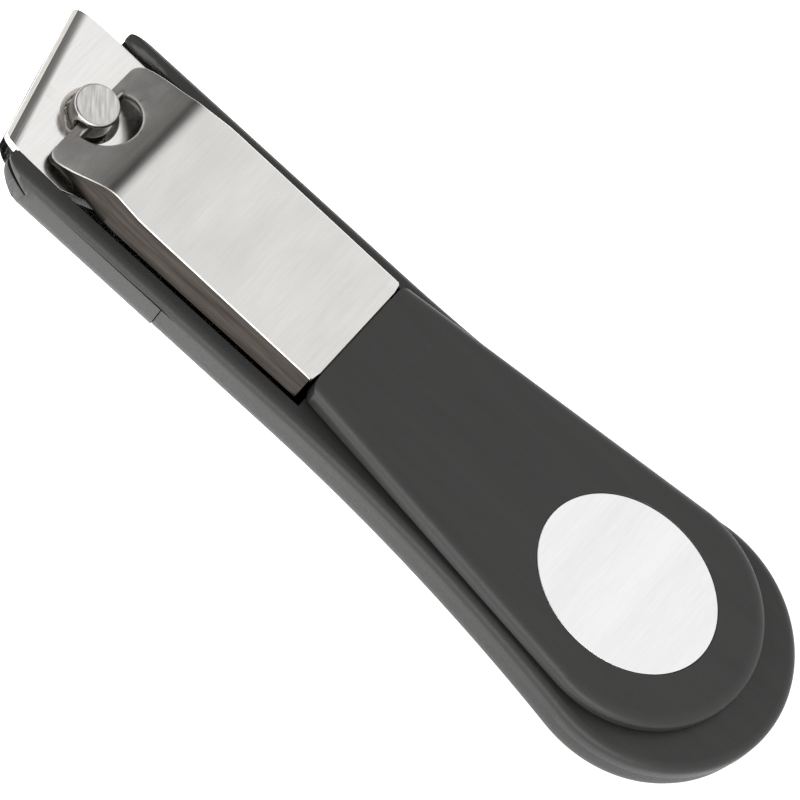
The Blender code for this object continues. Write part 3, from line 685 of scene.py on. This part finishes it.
def make_lower_blade(steel, upper_edge):
    """The lower strip lies flat, with its edge under the upper edge."""
    edge_height = upper_edge - JAW_OPENING
    top = jaw_curve(edge_height, RIVET_SPLIT - STRIP_GAP)
    level = top[-1][1]
    bottom = jaw_curve(edge_height - EDGE_FACE, level - BLADE_THICKNESS)
    profile = [(EDGE_MIDDLE, max(LOWER_LOW.z, edge_height - EDGE_FACE))]
    profile.extend(top)
    profile.append((ARM_END + PAST, level))
    profile.append((ARM_END + PAST, level - BLADE_THICKNESS))
    profile.extend(reversed(bottom[1:]))
    strip = prism("lower_jaw_blade", profile, -PROFILE_REACH, PROFILE_REACH, "XZ")
    blade = slanted(strip)
    finish_blade(blade, (POST_X, LOWER_HOLE_RADIUS), level)
    dress(weigh(blade), "casing", "lower_blade", "blade_steel", steel)


# Rivet and post.


def make_rivet(steel):
    """A low domed head above the arms and a flat one below them."""
    head = RIVET_HIGH.x - RIVET_X
    top = RIVET_SPLIT + BLADE_THICKNESS + RIVET_RIM
    bottom = RIVET_LOW.z + RIVET_FOOT
    dome = RIVET_HIGH.z - top
    profile = []
    for step in range(DOME_STEPS + 1):
        angle = math.radians(DOME_START + (90 - DOME_START) * step / DOME_STEPS)
        profile.append((head * math.sin(angle), top + dome * math.cos(angle)))
    profile.append((head, top))
    profile.append((RIVET_RADIUS, top))
    profile.append((RIVET_RADIUS, bottom))
    profile.append((head, bottom))
    profile.append((head, RIVET_LOW.z + FOOT_CHAMFER))
    profile.append((head - FOOT_CHAMFER, RIVET_LOW.z))
    rivet = smooth(turned("rivet_head", profile, (RIVET_X, 0)))
    dress(weigh(rivet), "casing", "rear_rivet", "rivet_steel", steel)


def bar_centre():
    """(x, height) of the middle of the lever's bar, which lies in the post's notch."""
    height = TONGUE_TOP + TONGUE_SLOPE * BAR_WIDTH / 2 - TONGUE_DEPTH / 2
    return LEVER_FRONT + BAR_WIDTH / 2, height


def make_post(side, top_face):
    """The post: chamfered head, notch behind for the lever's bar, and a riveted foot."""
    top = POST_HIGH.z
    foot = POST_LOW.z + POST_FOOT
    foot_radius = POST_HIGH.x - POST_X
    inwards, downwards = POST_CHAMFER_BULGE
    profile = [
        (POST_RADIUS - POST_CHAMFER, top),
        (POST_RADIUS - inwards * POST_CHAMFER, top - downwards * POST_CHAMFER),
        (POST_RADIUS, top - POST_CHAMFER),
        (POST_RADIUS, foot),
        (foot_radius, foot),
        (foot_radius, POST_LOW.z + FOOT_CHAMFER),
        (foot_radius - FOOT_CHAMFER, POST_LOW.z),
    ]
    post = turned("post_body", profile, (POST_X, 0))
    x, height = bar_centre()
    bar_reach = math.hypot(BAR_WIDTH / 2, (TONGUE_SLOPE * BAR_WIDTH + TONGUE_DEPTH) / 2)
    radius = bar_reach + NOTCH_PLAY
    notch = arc((x, height), radius, 90, 270)
    notch.append((x + PAST, height - radius))
    notch.append((x + PAST, height + radius))
    combine(post, prism("notch", notch, -PAST, PAST, "XZ"))
    smooth(soften(post, POST_EDGE, 60))
    dress(weigh(post), "post", "pivot_post", "post_steel", side, top_face)
    for polygon in post.data.polygons:
        if polygon.center.z > top - HAIR and polygon.normal.z > TOP_NORMAL:
            polygon.material_index = 1


# Lever.


def plate_height(x):
    """The plate's top, which falls a little towards the tail."""
    return LEVER_TOP - LEVER_FALL * (x - LEVER_RIDGE)


def top_height(x):
    """The lever's top: a sloping tongue that bends over into the plate."""
    if x < LEVER_RIDGE - BEND_REACH:
        return TONGUE_TOP + TONGUE_SLOPE * (x - LEVER_FRONT)
    if x > LEVER_RIDGE + BEND_REACH:
        return plate_height(x)
    share = (x - LEVER_RIDGE + BEND_REACH) / (2 * BEND_REACH)
    before = TONGUE_TOP + TONGUE_SLOPE * (LEVER_RIDGE - BEND_REACH - LEVER_FRONT)
    slope_change = TONGUE_SLOPE + LEVER_FALL
    travel = 2 * BEND_REACH * share
    return before + TONGUE_SLOPE * travel - slope_change * BEND_REACH * share**2


def eased(share):
    """A share from 0 to 1, with a gentle start and end."""
    share = min(max(share, 0), 1)
    return share * share * (3 - 2 * share)


def corner_inset(x):
    """How far the lever's rounded front corners draw its sides in."""
    into = LEVER_FRONT + TONGUE_CORNER - x
    if into <= 0:
        return 0
    return TONGUE_CORNER - math.sqrt(max(TONGUE_CORNER**2 - into**2, 0))


def top_half_width(x):
    """Rounded front corners, a slight waist at the bend, then parallel sides."""
    width = TONGUE_HALF_WIDTH
    width += TONGUE_SWELL * eased((x - LEVER_FRONT) / TONGUE_SWELL_LENGTH)
    narrow = eased((x - LEVER_FRONT - WAIST_START) / WAIST_LENGTH)
    width += (WAIST_HALF_WIDTH - TONGUE_HALF_WIDTH - TONGUE_SWELL) * narrow
    width += PLATE_SPREAD * eased((x - LEVER_RIDGE) / PLATE_SPREAD_LENGTH)
    return width - corner_inset(x)


def side_bottom(x):
    """(half width, height) of the lever's lower edge."""
    height = min(LEVER_SEAT, top_height(x) - TONGUE_DEPTH)
    share = eased((x - LEVER_FRONT) / SIDE_SPREAD_LENGTH)
    width = TONGUE_HALF_WIDTH + SIDE_OVERHANG + SIDE_SPREAD * share
    return width - corner_inset(x), height


def lever_profile(x):
    """Half of the lever's section at x, from the middle out and down to the lower edge."""
    width = top_half_width(x)
    height = top_height(x)
    low_width, low_height = side_bottom(x)
    down = Vector((low_width - width, low_height - height))
    rounding = min(LEVER_ROUNDING, LEVER_ROUNDING_SHARE * down.length)
    down.normalize()
    turn = math.acos(max(-1, min(1, down.x)))
    middle = width - rounding * math.tan(turn / 2)
    found = [(middle * step / TOP_ROWS, height) for step in range(TOP_ROWS)]
    for step in range(ROUNDING_ROWS + 1):
        angle = math.pi / 2 - turn * step / ROUNDING_ROWS
        found.append(
            (
                middle + rounding * math.cos(angle),
                height - rounding + rounding * math.sin(angle),
            )
        )
    start = Vector(found[-1])
    end = Vector((low_width, low_height))
    for step in range(1, SIDE_ROWS + 1):
        point = start.lerp(end, step / SIDE_ROWS)
        found.append((point.x, point.y))
    return found


def lever_stations():
    """Places along the lever, close together where it curves."""
    found = []
    for step in range(CORNER_STEPS + 1):
        turn = math.radians(90 * step / CORNER_STEPS)
        found.append(LEVER_FRONT + TONGUE_CORNER * (1 - math.cos(turn)))
    first = found[-1]
    length = LEVER_RIDGE - BEND_SPREAD * BEND_REACH - first
    found.extend(first + length * step / TONGUE_STEPS for step in range(1, TONGUE_STEPS))
    for step in range(BEND_STEPS + 1):
        along = -BEND_SPREAD + 2 * BEND_SPREAD * step / BEND_STEPS
        found.append(LEVER_RIDGE + BEND_REACH * along)
    first = found[-1]
    length = LEVER_END - first
    found.extend(first + length * step / PLATE_STEPS for step in range(1, PLATE_STEPS + 1))
    return found


def rear_pull(y):
    """How far the rounded rear corners draw the lever's end forwards."""
    into = abs(y) - top_half_width(LEVER_END) + REAR_CORNER
    into = min(into, REAR_CORNER_SHARE * REAR_CORNER)
    if into <= 0:
        return 0
    return REAR_CORNER - math.sqrt(REAR_CORNER**2 - into**2)


def lever_sheet():
    """Rows of points over the lever's outer face."""
    rows = []
    for x in lever_stations():
        half = lever_profile(x)
        row = [(x, -y, z) for y, z in reversed(half)]
        rows.append(row + [(x, y, z) for y, z in half[1:]])
    rows[-1] = [(x - rear_pull(y), y, z) for x, y, z in rows[-1]]
    return rows


def eye_outline(grow):
    """The tongue's round hole, cut off straight behind the bar, in the tongue's plane."""
    middle = EYE_SETBACK * TONGUE_STRETCH
    flat = BAR_WIDTH * TONGUE_STRETCH - grow
    radius = EYE_RADIUS + grow
    angle = math.degrees(math.acos((flat - middle) / radius))
    outline = arc((middle, 0), radius, -angle, angle, EYE_STEPS)
    first, last = Vector(outline[-1]), Vector(outline[0])
    for step in range(1, EYE_FLAT_STEPS):
        point = first.lerp(last, step / EYE_FLAT_STEPS)
        outline.append((point.x, point.y))
    return outline


def eye_cutter():
    """The eye's cutter, flared where it meets the tongue's top so that the rim is rounded."""
    lean = Matrix.Rotation(-math.atan(TONGUE_SLOPE), 4, "Y")
    place = Matrix.Translation((LEVER_FRONT, 0, TONGUE_TOP)) @ lean
    levels = [(EYE_FLARE, 2 * EYE_FLARE), (0.0, EYE_FLARE)]
    for step in range(1, EYE_FLARE_STEPS + 1):
        angle = math.radians(90 * step / EYE_FLARE_STEPS)
        height = -EYE_FLARE * (1 - math.cos(angle))
        levels.append((height, EYE_FLARE * (1 - math.sin(angle))))
    levels.append((-EYE_DEPTH, 0.0))
    rings = []
    for height, grow in levels:
        outline = eye_outline(min(grow, EYE_FLARE_MOST))
        rings.append([place @ Vector((x, y, height)) for x, y in outline])
    return lofted("eye", rings)


def tang_section(front, grow):
    """The tang's section along the lever from a front end, grown by a gap for its slot."""
    end = TANG_END + grow
    low = TANG_DEPTH + TANG_THICKNESS + grow
    high = TANG_DEPTH - grow
    return [
        (front, plate_height(front) - low),
        (end, plate_height(end) - low),
        (end, plate_height(end) - high),
        (front, plate_height(front) - high),
    ]


def make_lever(steel, shaded_side_steel):
    """A folded sheet with the eye cut through its tongue and a tang behind."""
    solid = bmesh.new()
    rows = [[solid.verts.new(point) for point in row] for row in lever_sheet()]
    last = len(rows[0]) - 1
    for first, second in zip(rows, rows[1:]):
        for index in range(last):
            face = solid.faces.new(
                (first[index], second[index], second[index + 1], first[index + 1])
            )
            # The side rows get the darkened steel of painted shade.
            if index < SIDE_ROWS or index >= last - SIDE_ROWS:
                face.material_index = 1
    arm = from_bmesh("lever_channel", solid)
    arm.data.materials.append(steel)
    arm.data.materials.append(shaded_side_steel)
    thick = arm.modifiers.new("Thickness", "SOLIDIFY")
    thick.thickness = TONGUE_THICKNESS
    thick.offset = -1
    thick.use_even_offset = True
    settle(arm)
    soften(arm, LEVER_EDGE, 55)
    combine(arm, eye_cutter())
    section = tang_section(LEVER_END - TANG_LAP, 0)
    strip = prism("tang", section, -TANG_HALF_WIDTH, TANG_HALF_WIDTH, "XZ")
    strip.data.materials.append(steel)
    strip.data.materials.append(shaded_side_steel)
    # Painted shade: the whole tang gets the darkened side steel, so the gap before the grip
    # shows dark instead of lit steel.
    for polygon in strip.data.polygons:
        polygon.material_index = 1
    combine(arm, strip, "UNION")
    smooth(arm, 40)
    dress(weigh(arm), "lever", "lever_arm", "lever_steel")


# Grip and inlay.


def grip_side():
    """The angle that the straight side faces, and the front corner's centre."""
    distance = math.hypot(GRIP_TAIL_CENTRE - GRIP_FRONT, GRIP_FRONT_HALF_WIDTH)
    towards = math.atan2(GRIP_FRONT_HALF_WIDTH, GRIP_FRONT - GRIP_TAIL_CENTRE)
    facing = towards - math.acos(GRIP_TAIL_RADIUS / distance)
    x = GRIP_FRONT + GRIP_CORNER
    reach = GRIP_TAIL_RADIUS - GRIP_CORNER
    y = (reach - (x - GRIP_TAIL_CENTRE) * math.cos(facing)) / math.sin(facing)
    return math.degrees(facing), (x, y)


def grip_outline(inset):
    """The grip's plan, drawn in from its sides by the inset and run on past its front."""
    facing = math.radians(grip_side()[0])
    front = GRIP_FRONT - PAST
    radius = GRIP_TAIL_RADIUS - inset
    reach = (GRIP_TAIL_CENTRE - front) * math.cos(facing)
    half = [(front, (radius + reach) / math.sin(facing))]
    half.extend(arc((GRIP_TAIL_CENTRE, 0), radius, math.degrees(facing), 0, 64))
    return half + [(x, -y) for x, y in reversed(half[:-1])]


def grip_top(x):
    """The grip's top, which stands a little above the lever's plate."""
    return plate_height(x) + GRIP_PROUD


def oval(grow, steps=ROUND_STEPS):
    """The inlay's outline, grown by a distance."""
    found = []
    for step in range(steps):
        angle = 2 * math.pi * step / steps
        found.append(
            (
                INLAY_X + (INLAY_HALF_LENGTH + grow) * math.cos(angle),
                (INLAY_HALF_WIDTH + grow) * math.sin(angle),
            )
        )
    return found


def make_grip(material):
    """The grip has a level underside and a rounded top that falls towards the tail."""
    height = grip_top(GRIP_FRONT) - LEVER_SEAT
    rings = []
    levels = rounded_levels(0, height, GRIP_LOWER_ROUNDING, GRIP_UPPER_ROUNDING, 10)
    for level, inset in levels:
        ring = []
        for x, y in grip_outline(inset):
            share = (grip_top(x) - LEVER_SEAT) / height
            ring.append((x, y, LEVER_SEAT + level * share))
        rings.append(ring)
    grip = lofted("grip_overmould", rings)
    facing, corner = grip_side()
    half = arc(corner, GRIP_CORNER, 180, facing, 12)
    half.append((half[-1][0], ACROSS))
    half.append((TAIL_X + PAST, ACROSS))
    combine(grip, prism("trim", mirrored(half), -PAST, LEVER_TOP + PAST), "INTERSECT")
    half_width = TANG_HALF_WIDTH + CLOSE_GAP
    section = tang_section(GRIP_FRONT - PAST, CLOSE_GAP)
    combine(grip, prism("slot", section, -half_width, half_width, "XZ"))
    rings = []
    for drop, grow in POCKET_WALL:
        rings.append([(x, y, grip_top(x) - drop) for x, y in oval(grow)])
    combine(grip, lofted("pocket", rings))
    smooth(grip, 40)
    dress(weigh(grip), "lever", "lever_grip", "grip_plastic", material)


def make_inlay(material):
    """A thin oval plate with a finely rounded rim."""
    levels = [(INLAY_THICKNESS, 0.0), (INLAY_EDGE, 0.0)]
    for step in range(1, INLAY_EDGE_STEPS + 1):
        angle = math.radians(90 * step / INLAY_EDGE_STEPS)
        drop = INLAY_EDGE * (1 - math.sin(angle))
        levels.append((drop, -INLAY_EDGE * (1 - math.cos(angle))))
    rings = []
    for drop, grow in levels:
        outline = oval(grow, INLAY_STEPS)
        rings.append([(x, y, grip_top(x) - INLAY_SINK - drop) for x, y in outline])
    inlay = smooth(lofted("oval_plate", rings), 30)
    dress(weigh(inlay), "lever", "grip_inlay", "inlay_metal", material)


# Materials.


def new_material(name, colour, roughness, metallic):
    """A material and its shader node."""
    material = bpy.data.materials.new(name)
    material.use_nodes = True
    shader = material.node_tree.nodes["Principled BSDF"]
    shader.inputs["Base Color"].default_value = (*colour, 1)
    shader.inputs["Roughness"].default_value = roughness
    shader.inputs["Metallic"].default_value = metallic
    return material, shader


def node(material, kind, **settings):
    """Adds a node of a kind to a material, with its settings."""
    made = material.node_tree.nodes.new(kind)
    for name, value in settings.items():
        setattr(made, name, value)
    return made


def join(material, source, target):
    material.node_tree.links.new(source, target)


def streaks(material, stretch, angle=0.0, detail=3.0):
    """A noise drawn out by stretch, as (x, y, z) lines per millimetre, turned about Z."""
    place = node(material, "ShaderNodeTexCoord")
    turn = node(material, "ShaderNodeMapping")
    turn.inputs["Rotation"].default_value = (0, 0, angle)
    size = node(material, "ShaderNodeMapping")
    size.inputs["Scale"].default_value = [value / MM for value in stretch]
    noise = node(material, "ShaderNodeTexNoise")
    noise.inputs["Scale"].default_value = 1.0
    noise.inputs["Detail"].default_value = detail
    noise.inputs["Roughness"].default_value = 0.6
    join(material, place.outputs["Object"], turn.inputs["Vector"])
    join(material, turn.outputs["Vector"], size.inputs["Vector"])
    join(material, size.outputs["Vector"], noise.inputs["Vector"])
    return noise.outputs["Fac"]


def ramp(material, source, low, high, to_low, to_high):
    """Maps a value's range onto another."""
    made = node(material, "ShaderNodeMapRange")
    made.inputs["From Min"].default_value = low
    made.inputs["From Max"].default_value = high
    made.inputs["To Min"].default_value = to_low
    made.inputs["To Max"].default_value = to_high
    join(material, source, made.inputs["Value"])
    return made.outputs["Result"]


def mixed(material, factor, first, second):
    """A colour between two, each a colour or another node's output."""
    made = node(material, "ShaderNodeMix", data_type="RGBA")
    join(material, factor, made.inputs["Factor"])
    sockets = [item for item in made.inputs if item.type == "RGBA"]
    for socket, value in zip(sockets, (first, second)):
        if isinstance(value, tuple):
            socket.default_value = (*value, 1)
        else:
            join(material, value, socket)
    return [item for item in made.outputs if item.type == "RGBA"][0]


def bumped(material, shader, source, depth):
    """Gives a shader a fine relief of a depth, from a noise."""
    made = node(material, "ShaderNodeBump")
    made.inputs["Strength"].default_value = 1.0
    made.inputs["Distance"].default_value = depth
    join(material, source, made.inputs["Height"])
    join(material, made.outputs["Normal"], shader.inputs["Normal"])


def brushed_steel(name, colours, roughness, lines, angle=0.0, depth=BRUSHING_RELIEF):
    """Steel whose fine brushing varies its colour, its gloss and its surface."""
    material, shader = new_material(name, colours[0], roughness[0], 1.0)
    fine = streaks(material, lines, angle)
    broad = streaks(material, [value / 12 for value in lines], angle, detail=2.0)
    shade = mixed(material, ramp(material, fine, *NOISE_SPAN, 0, 1), colours[0], colours[1])
    join(material, shade, shader.inputs["Base Color"])
    gloss = ramp(material, broad, *NOISE_SPAN, roughness[0], roughness[1])
    join(material, gloss, shader.inputs["Roughness"])
    bumped(material, shader, fine, depth)
    return material


def lever_steel_material():
    """Crosswise brushed plate; the tongue is darkened with painted shade in random patches,
    darkest just before the bend, and graded softly into the plate.
    """
    material, shader = new_material("lever_brushed_steel", (0.74, 0.73, 0.71), 0.26, 1.0)
    fine = streaks(material, (5.0, 0.3, 0.3), detail=2.0)
    broad = streaks(material, (0.3, 0.12, 0.12), detail=2.0)
    patches = streaks(material, (0.35, 0.2, 0.2), detail=3.0)
    place = node(material, "ShaderNodeTexCoord")
    parts = node(material, "ShaderNodeSeparateXYZ")
    join(material, place.outputs["Object"], parts.inputs["Vector"])
    line = ramp(material, fine, *NOISE_SPAN, 0, 1)
    plate = mixed(material, line, (0.75, 0.74, 0.72), (0.79, 0.78, 0.76))
    patch = ramp(material, patches, *NOISE_CORE, 0, 1)
    # Painted shade: the tongue's steel is darker than the plate's, in patches, and darkest in a
    # band before the bend.
    front = mixed(material, patch, (0.40, 0.39, 0.375), (0.56, 0.55, 0.53))
    bend_shade = mixed(material, line, (0.27, 0.265, 0.25), (0.32, 0.315, 0.30))
    span = [LEVER_RIDGE + distance for distance in BEND_PAINTED_SHADE]
    tongue = mixed(material, ramp(material, parts.outputs["X"], *span, 0, 1), front, bend_shade)
    # The tongue's painted shade fades out into the plate just past the ridge.
    span = [LEVER_RIDGE + distance for distance in PAINTED_SHADE_FADE]
    towards = ramp(material, parts.outputs["X"], *span, 0, 1)
    join(material, mixed(material, towards, tongue, plate), shader.inputs["Base Color"])
    gloss = ramp(material, broad, *NOISE_SPAN, 0.22, 0.34)
    join(material, gloss, shader.inputs["Roughness"])
    bumped(material, shader, fine, BRUSHING_RELIEF)
    return material


def side_painted_shade_material():
    """The lever's sides: steel darkened to a brownish near-black as painted shade, streaked
    lengthwise.
    """
    # Painted shade: the sides' steel is far darker than the plate's.
    return brushed_steel(
        "lever_side_painted_shade",
        ((0.034, 0.029, 0.025), (0.075, 0.067, 0.059)),
        (0.32, 0.5),
        (0.12, 1.5, 2.2),
        depth=0.006 * MM,
    )


def wear_patch(material, centre, reach):
    """A ragged patch round a point, fading out over its (x, y, z) reach."""
    place = node(material, "ShaderNodeTexCoord")
    near = node(material, "ShaderNodeMapping")
    near.inputs["Location"].default_value = [
        -value / size for value, size in zip(centre, reach)
    ]
    near.inputs["Scale"].default_value = [1 / size for size in reach]
    ball = node(material, "ShaderNodeTexGradient", gradient_type="SPHERICAL")
    join(material, place.outputs["Object"], near.inputs["Vector"])
    join(material, near.outputs["Vector"], ball.inputs["Vector"])
    ragged = streaks(material, (1.2, 2.5, 2.5), detail=6.0)
    both = node(material, "ShaderNodeMath", operation="MULTIPLY_ADD")
    both.inputs[1].default_value = 1.2
    join(material, ball.outputs["Fac"], both.inputs[0])
    join(material, ragged, both.inputs[2])
    return ramp(material, both.outputs["Value"], 0.85, 1.2, 0, 1)


def moulded_plastic(name, colour, roughness, grain):
    """Dark moulded plastic with a fine grain, faint flow marks and scuffs."""
    material, shader = new_material(name, colour, roughness, 0.0)
    shader.inputs["Specular IOR Level"].default_value = 0.45
    fine = streaks(material, (grain, grain, grain), detail=4.0)
    flow = streaks(material, (0.05, 0.6, 0.8), detail=3.0)
    scuff = streaks(material, (0.4, 5.0, 5.0), detail=5.0)
    lighter = tuple(min(1.0, value * 1.5 + 0.01) for value in colour)
    darker = tuple(value * 0.85 for value in colour)
    base = mixed(material, ramp(material, flow, *NOISE_CORE, 0, 1), darker, colour)
    worn = mixed(material, ramp(material, scuff, 0.66, 0.8, 0, 0.7), base, lighter)
    join(material, worn, shader.inputs["Base Color"])
    gloss = ramp(material, fine, *NOISE_SPAN, roughness - 0.06, roughness + 0.08)
    join(material, gloss, shader.inputs["Roughness"])
    bumped(material, shader, fine, PLASTIC_RELIEF)
    return material


def worn_shell_plastic():
    """The frame's plastic, scuffed along the far wing's inner edge."""
    material = moulded_plastic("shell_plastic", SHELL_PLASTIC, 0.42, 5.0)
    shader = material.node_tree.nodes["Principled BSDF"]
    plain = shader.inputs["Base Color"].links[0].from_socket
    centre = (WING_FRONT + SCUFF_SETBACK, INNER_HALF_WIDTH, CASING_TOP)
    patch = wear_patch(material, centre, SCUFF_REACH)
    scuffed = mixed(material, patch, plain, SCUFFED_PLASTIC)
    join(material, scuffed, shader.inputs["Base Color"])
    return material


# Studio.


def make_camera():
    """A long lens that looks down on the clipper from its near side."""
    data = bpy.data.cameras.new("camera")
    data.sensor_width = SENSOR
    data.lens = SENSOR * VIEW_DISTANCE / VIEW_WIDTH
    data.clip_start = NEAREST_SEEN
    camera = link("camera", data)
    towards = Vector((0, -math.cos(VIEW_ELEVATION), math.sin(VIEW_ELEVATION)))
    aim = towards.to_track_quat("Z", "Y").to_matrix().to_4x4()
    roll = Matrix.Rotation(VIEW_ROLL, 4, "Z")
    place = Matrix.Translation(VIEW_TARGET + towards * VIEW_DISTANCE)
    camera.matrix_world = place @ aim @ roll
    bpy.context.scene.camera = camera


def make_floor():
    """A table of glowing paper."""
    size = TABLE_HALF_SIZE
    mesh = bpy.data.meshes.new("floor")
    corners = rectangle(-size, size, -size, size)
    mesh.from_pydata([(x, y, 0) for x, y in corners], [], [(0, 1, 2, 3)])
    floor = link("floor", mesh)
    material, shader = new_material("floor_paper", (0.15, 0.15, 0.15), 0.85, 0.0)
    grain = streaks(material, (2, 2, 2))
    shade = mixed(material, grain, (0.14, 0.14, 0.14), (0.16, 0.16, 0.16))
    join(material, shade, shader.inputs["Base Color"])
    shader.inputs["Specular IOR Level"].default_value = 0.0
    shader.inputs["Emission Color"].default_value = (1, 1, 1, 1)
    place = node(material, "ShaderNodeTexCoord")
    parts = node(material, "ShaderNodeSeparateXYZ")
    join(material, place.outputs["Object"], parts.inputs["Vector"])
    glow = ramp(material, parts.outputs["X"], -TAIL_X / 2, TAIL_CENTRE, FRONT_GLOW, TAIL_GLOW)
    join(material, glow, shader.inputs["Emission Strength"])
    mesh.materials.append(material)


def make_light(name, place, size, power):
    """A rectangular light that faces the origin."""
    data = bpy.data.lights.new(name, "AREA")
    data.shape = "RECTANGLE"
    data.size, data.size_y = size
    data.energy = power
    light = link(name, data)
    turn = Vector(place).to_track_quat("Z", "Y").to_matrix().to_4x4()
    light.matrix_world = Matrix.Translation(place) @ turn


def make_world():
    """A white studio with a dark flag beside it, which shades the steel's bends."""
    world = bpy.data.worlds.new("studio")
    bpy.context.scene.world = world
    world.use_nodes = True
    tree = world.node_tree
    place = tree.nodes.new("ShaderNodeTexCoord")
    parts = tree.nodes.new("ShaderNodeSeparateXYZ")
    band = tree.nodes.new("ShaderNodeValToRGB")
    shift = tree.nodes.new("ShaderNodeMath")
    shift.operation = "MULTIPLY_ADD"
    shift.inputs[1].default_value = 0.5
    shift.inputs[2].default_value = 0.5
    tree.links.new(place.outputs["Generated"], parts.inputs["Vector"])
    tree.links.new(parts.outputs["X"], shift.inputs[0])
    tree.links.new(shift.outputs["Value"], band.inputs["Fac"])
    band.color_ramp.interpolation = "EASE"
    elements = band.color_ramp.elements
    while len(elements) < len(WORLD_BAND):
        elements.new(0.5)
    for element, (where, level) in zip(elements, WORLD_BAND):
        element.position = where
        element.color = (level, level, level, 1)
    background = tree.nodes["Background"]
    background.inputs["Strength"].default_value = 1.0
    tree.links.new(band.outputs["Color"], background.inputs["Color"])


make_camera()
make_floor()
make_world()
make_light("near_low", LIGHT_PLACE, LIGHT_SIZE, LIGHT_POWER)
bpy.context.scene.view_settings.view_transform = "Standard"

shell_plastic = worn_shell_plastic()
tray_plastic = moulded_plastic("tray_plastic", DARK_PLASTIC, 0.45, 4.0)
grip_plastic = moulded_plastic("grip_plastic", DARK_PLASTIC, 0.4, 5.0)
blade_steel = brushed_steel(
    "blade_steel", ((0.83, 0.82, 0.80), (0.88, 0.87, 0.855)), (0.16, 0.24), (5.0, 0.3, 0.3)
)
ground_steel = brushed_steel(
    "ground_steel", ((0.56, 0.53, 0.49), (0.68, 0.65, 0.60)), (0.35, 0.5), (6, 0.4, 6)
)
turned_steel = brushed_steel(
    "turned_steel", ((0.45, 0.43, 0.41), (0.6, 0.58, 0.56)), (0.2, 0.34), (0.8, 0.8, 4)
)
sawn_steel = brushed_steel(
    "sawn_steel",
    ((0.50, 0.495, 0.48), (0.90, 0.89, 0.87)),
    (0.25, 0.45),
    (0.4, 4.0, 0.4),
    math.radians(52),
    0.008 * MM,
)
rivet_steel = brushed_steel(
    "rivet_steel", ((0.5, 0.49, 0.47), (0.62, 0.61, 0.59)), (0.25, 0.4), (2, 2, 2)
)
satin_metal = brushed_steel(
    "satin_metal", ((0.92, 0.92, 0.92), (0.97, 0.97, 0.97)), (0.3, 0.4), (5.0, 0.3, 0.3)
)

make_shell(shell_plastic)
make_tray(tray_plastic)
upper_edge = make_upper_blade(blade_steel, ground_steel)
make_lower_blade(blade_steel, upper_edge)
make_rivet(rivet_steel)
make_post(turned_steel, sawn_steel)
make_lever(lever_steel_material(), side_painted_shade_material())
make_grip(grip_plastic)
make_inlay(satin_metal)
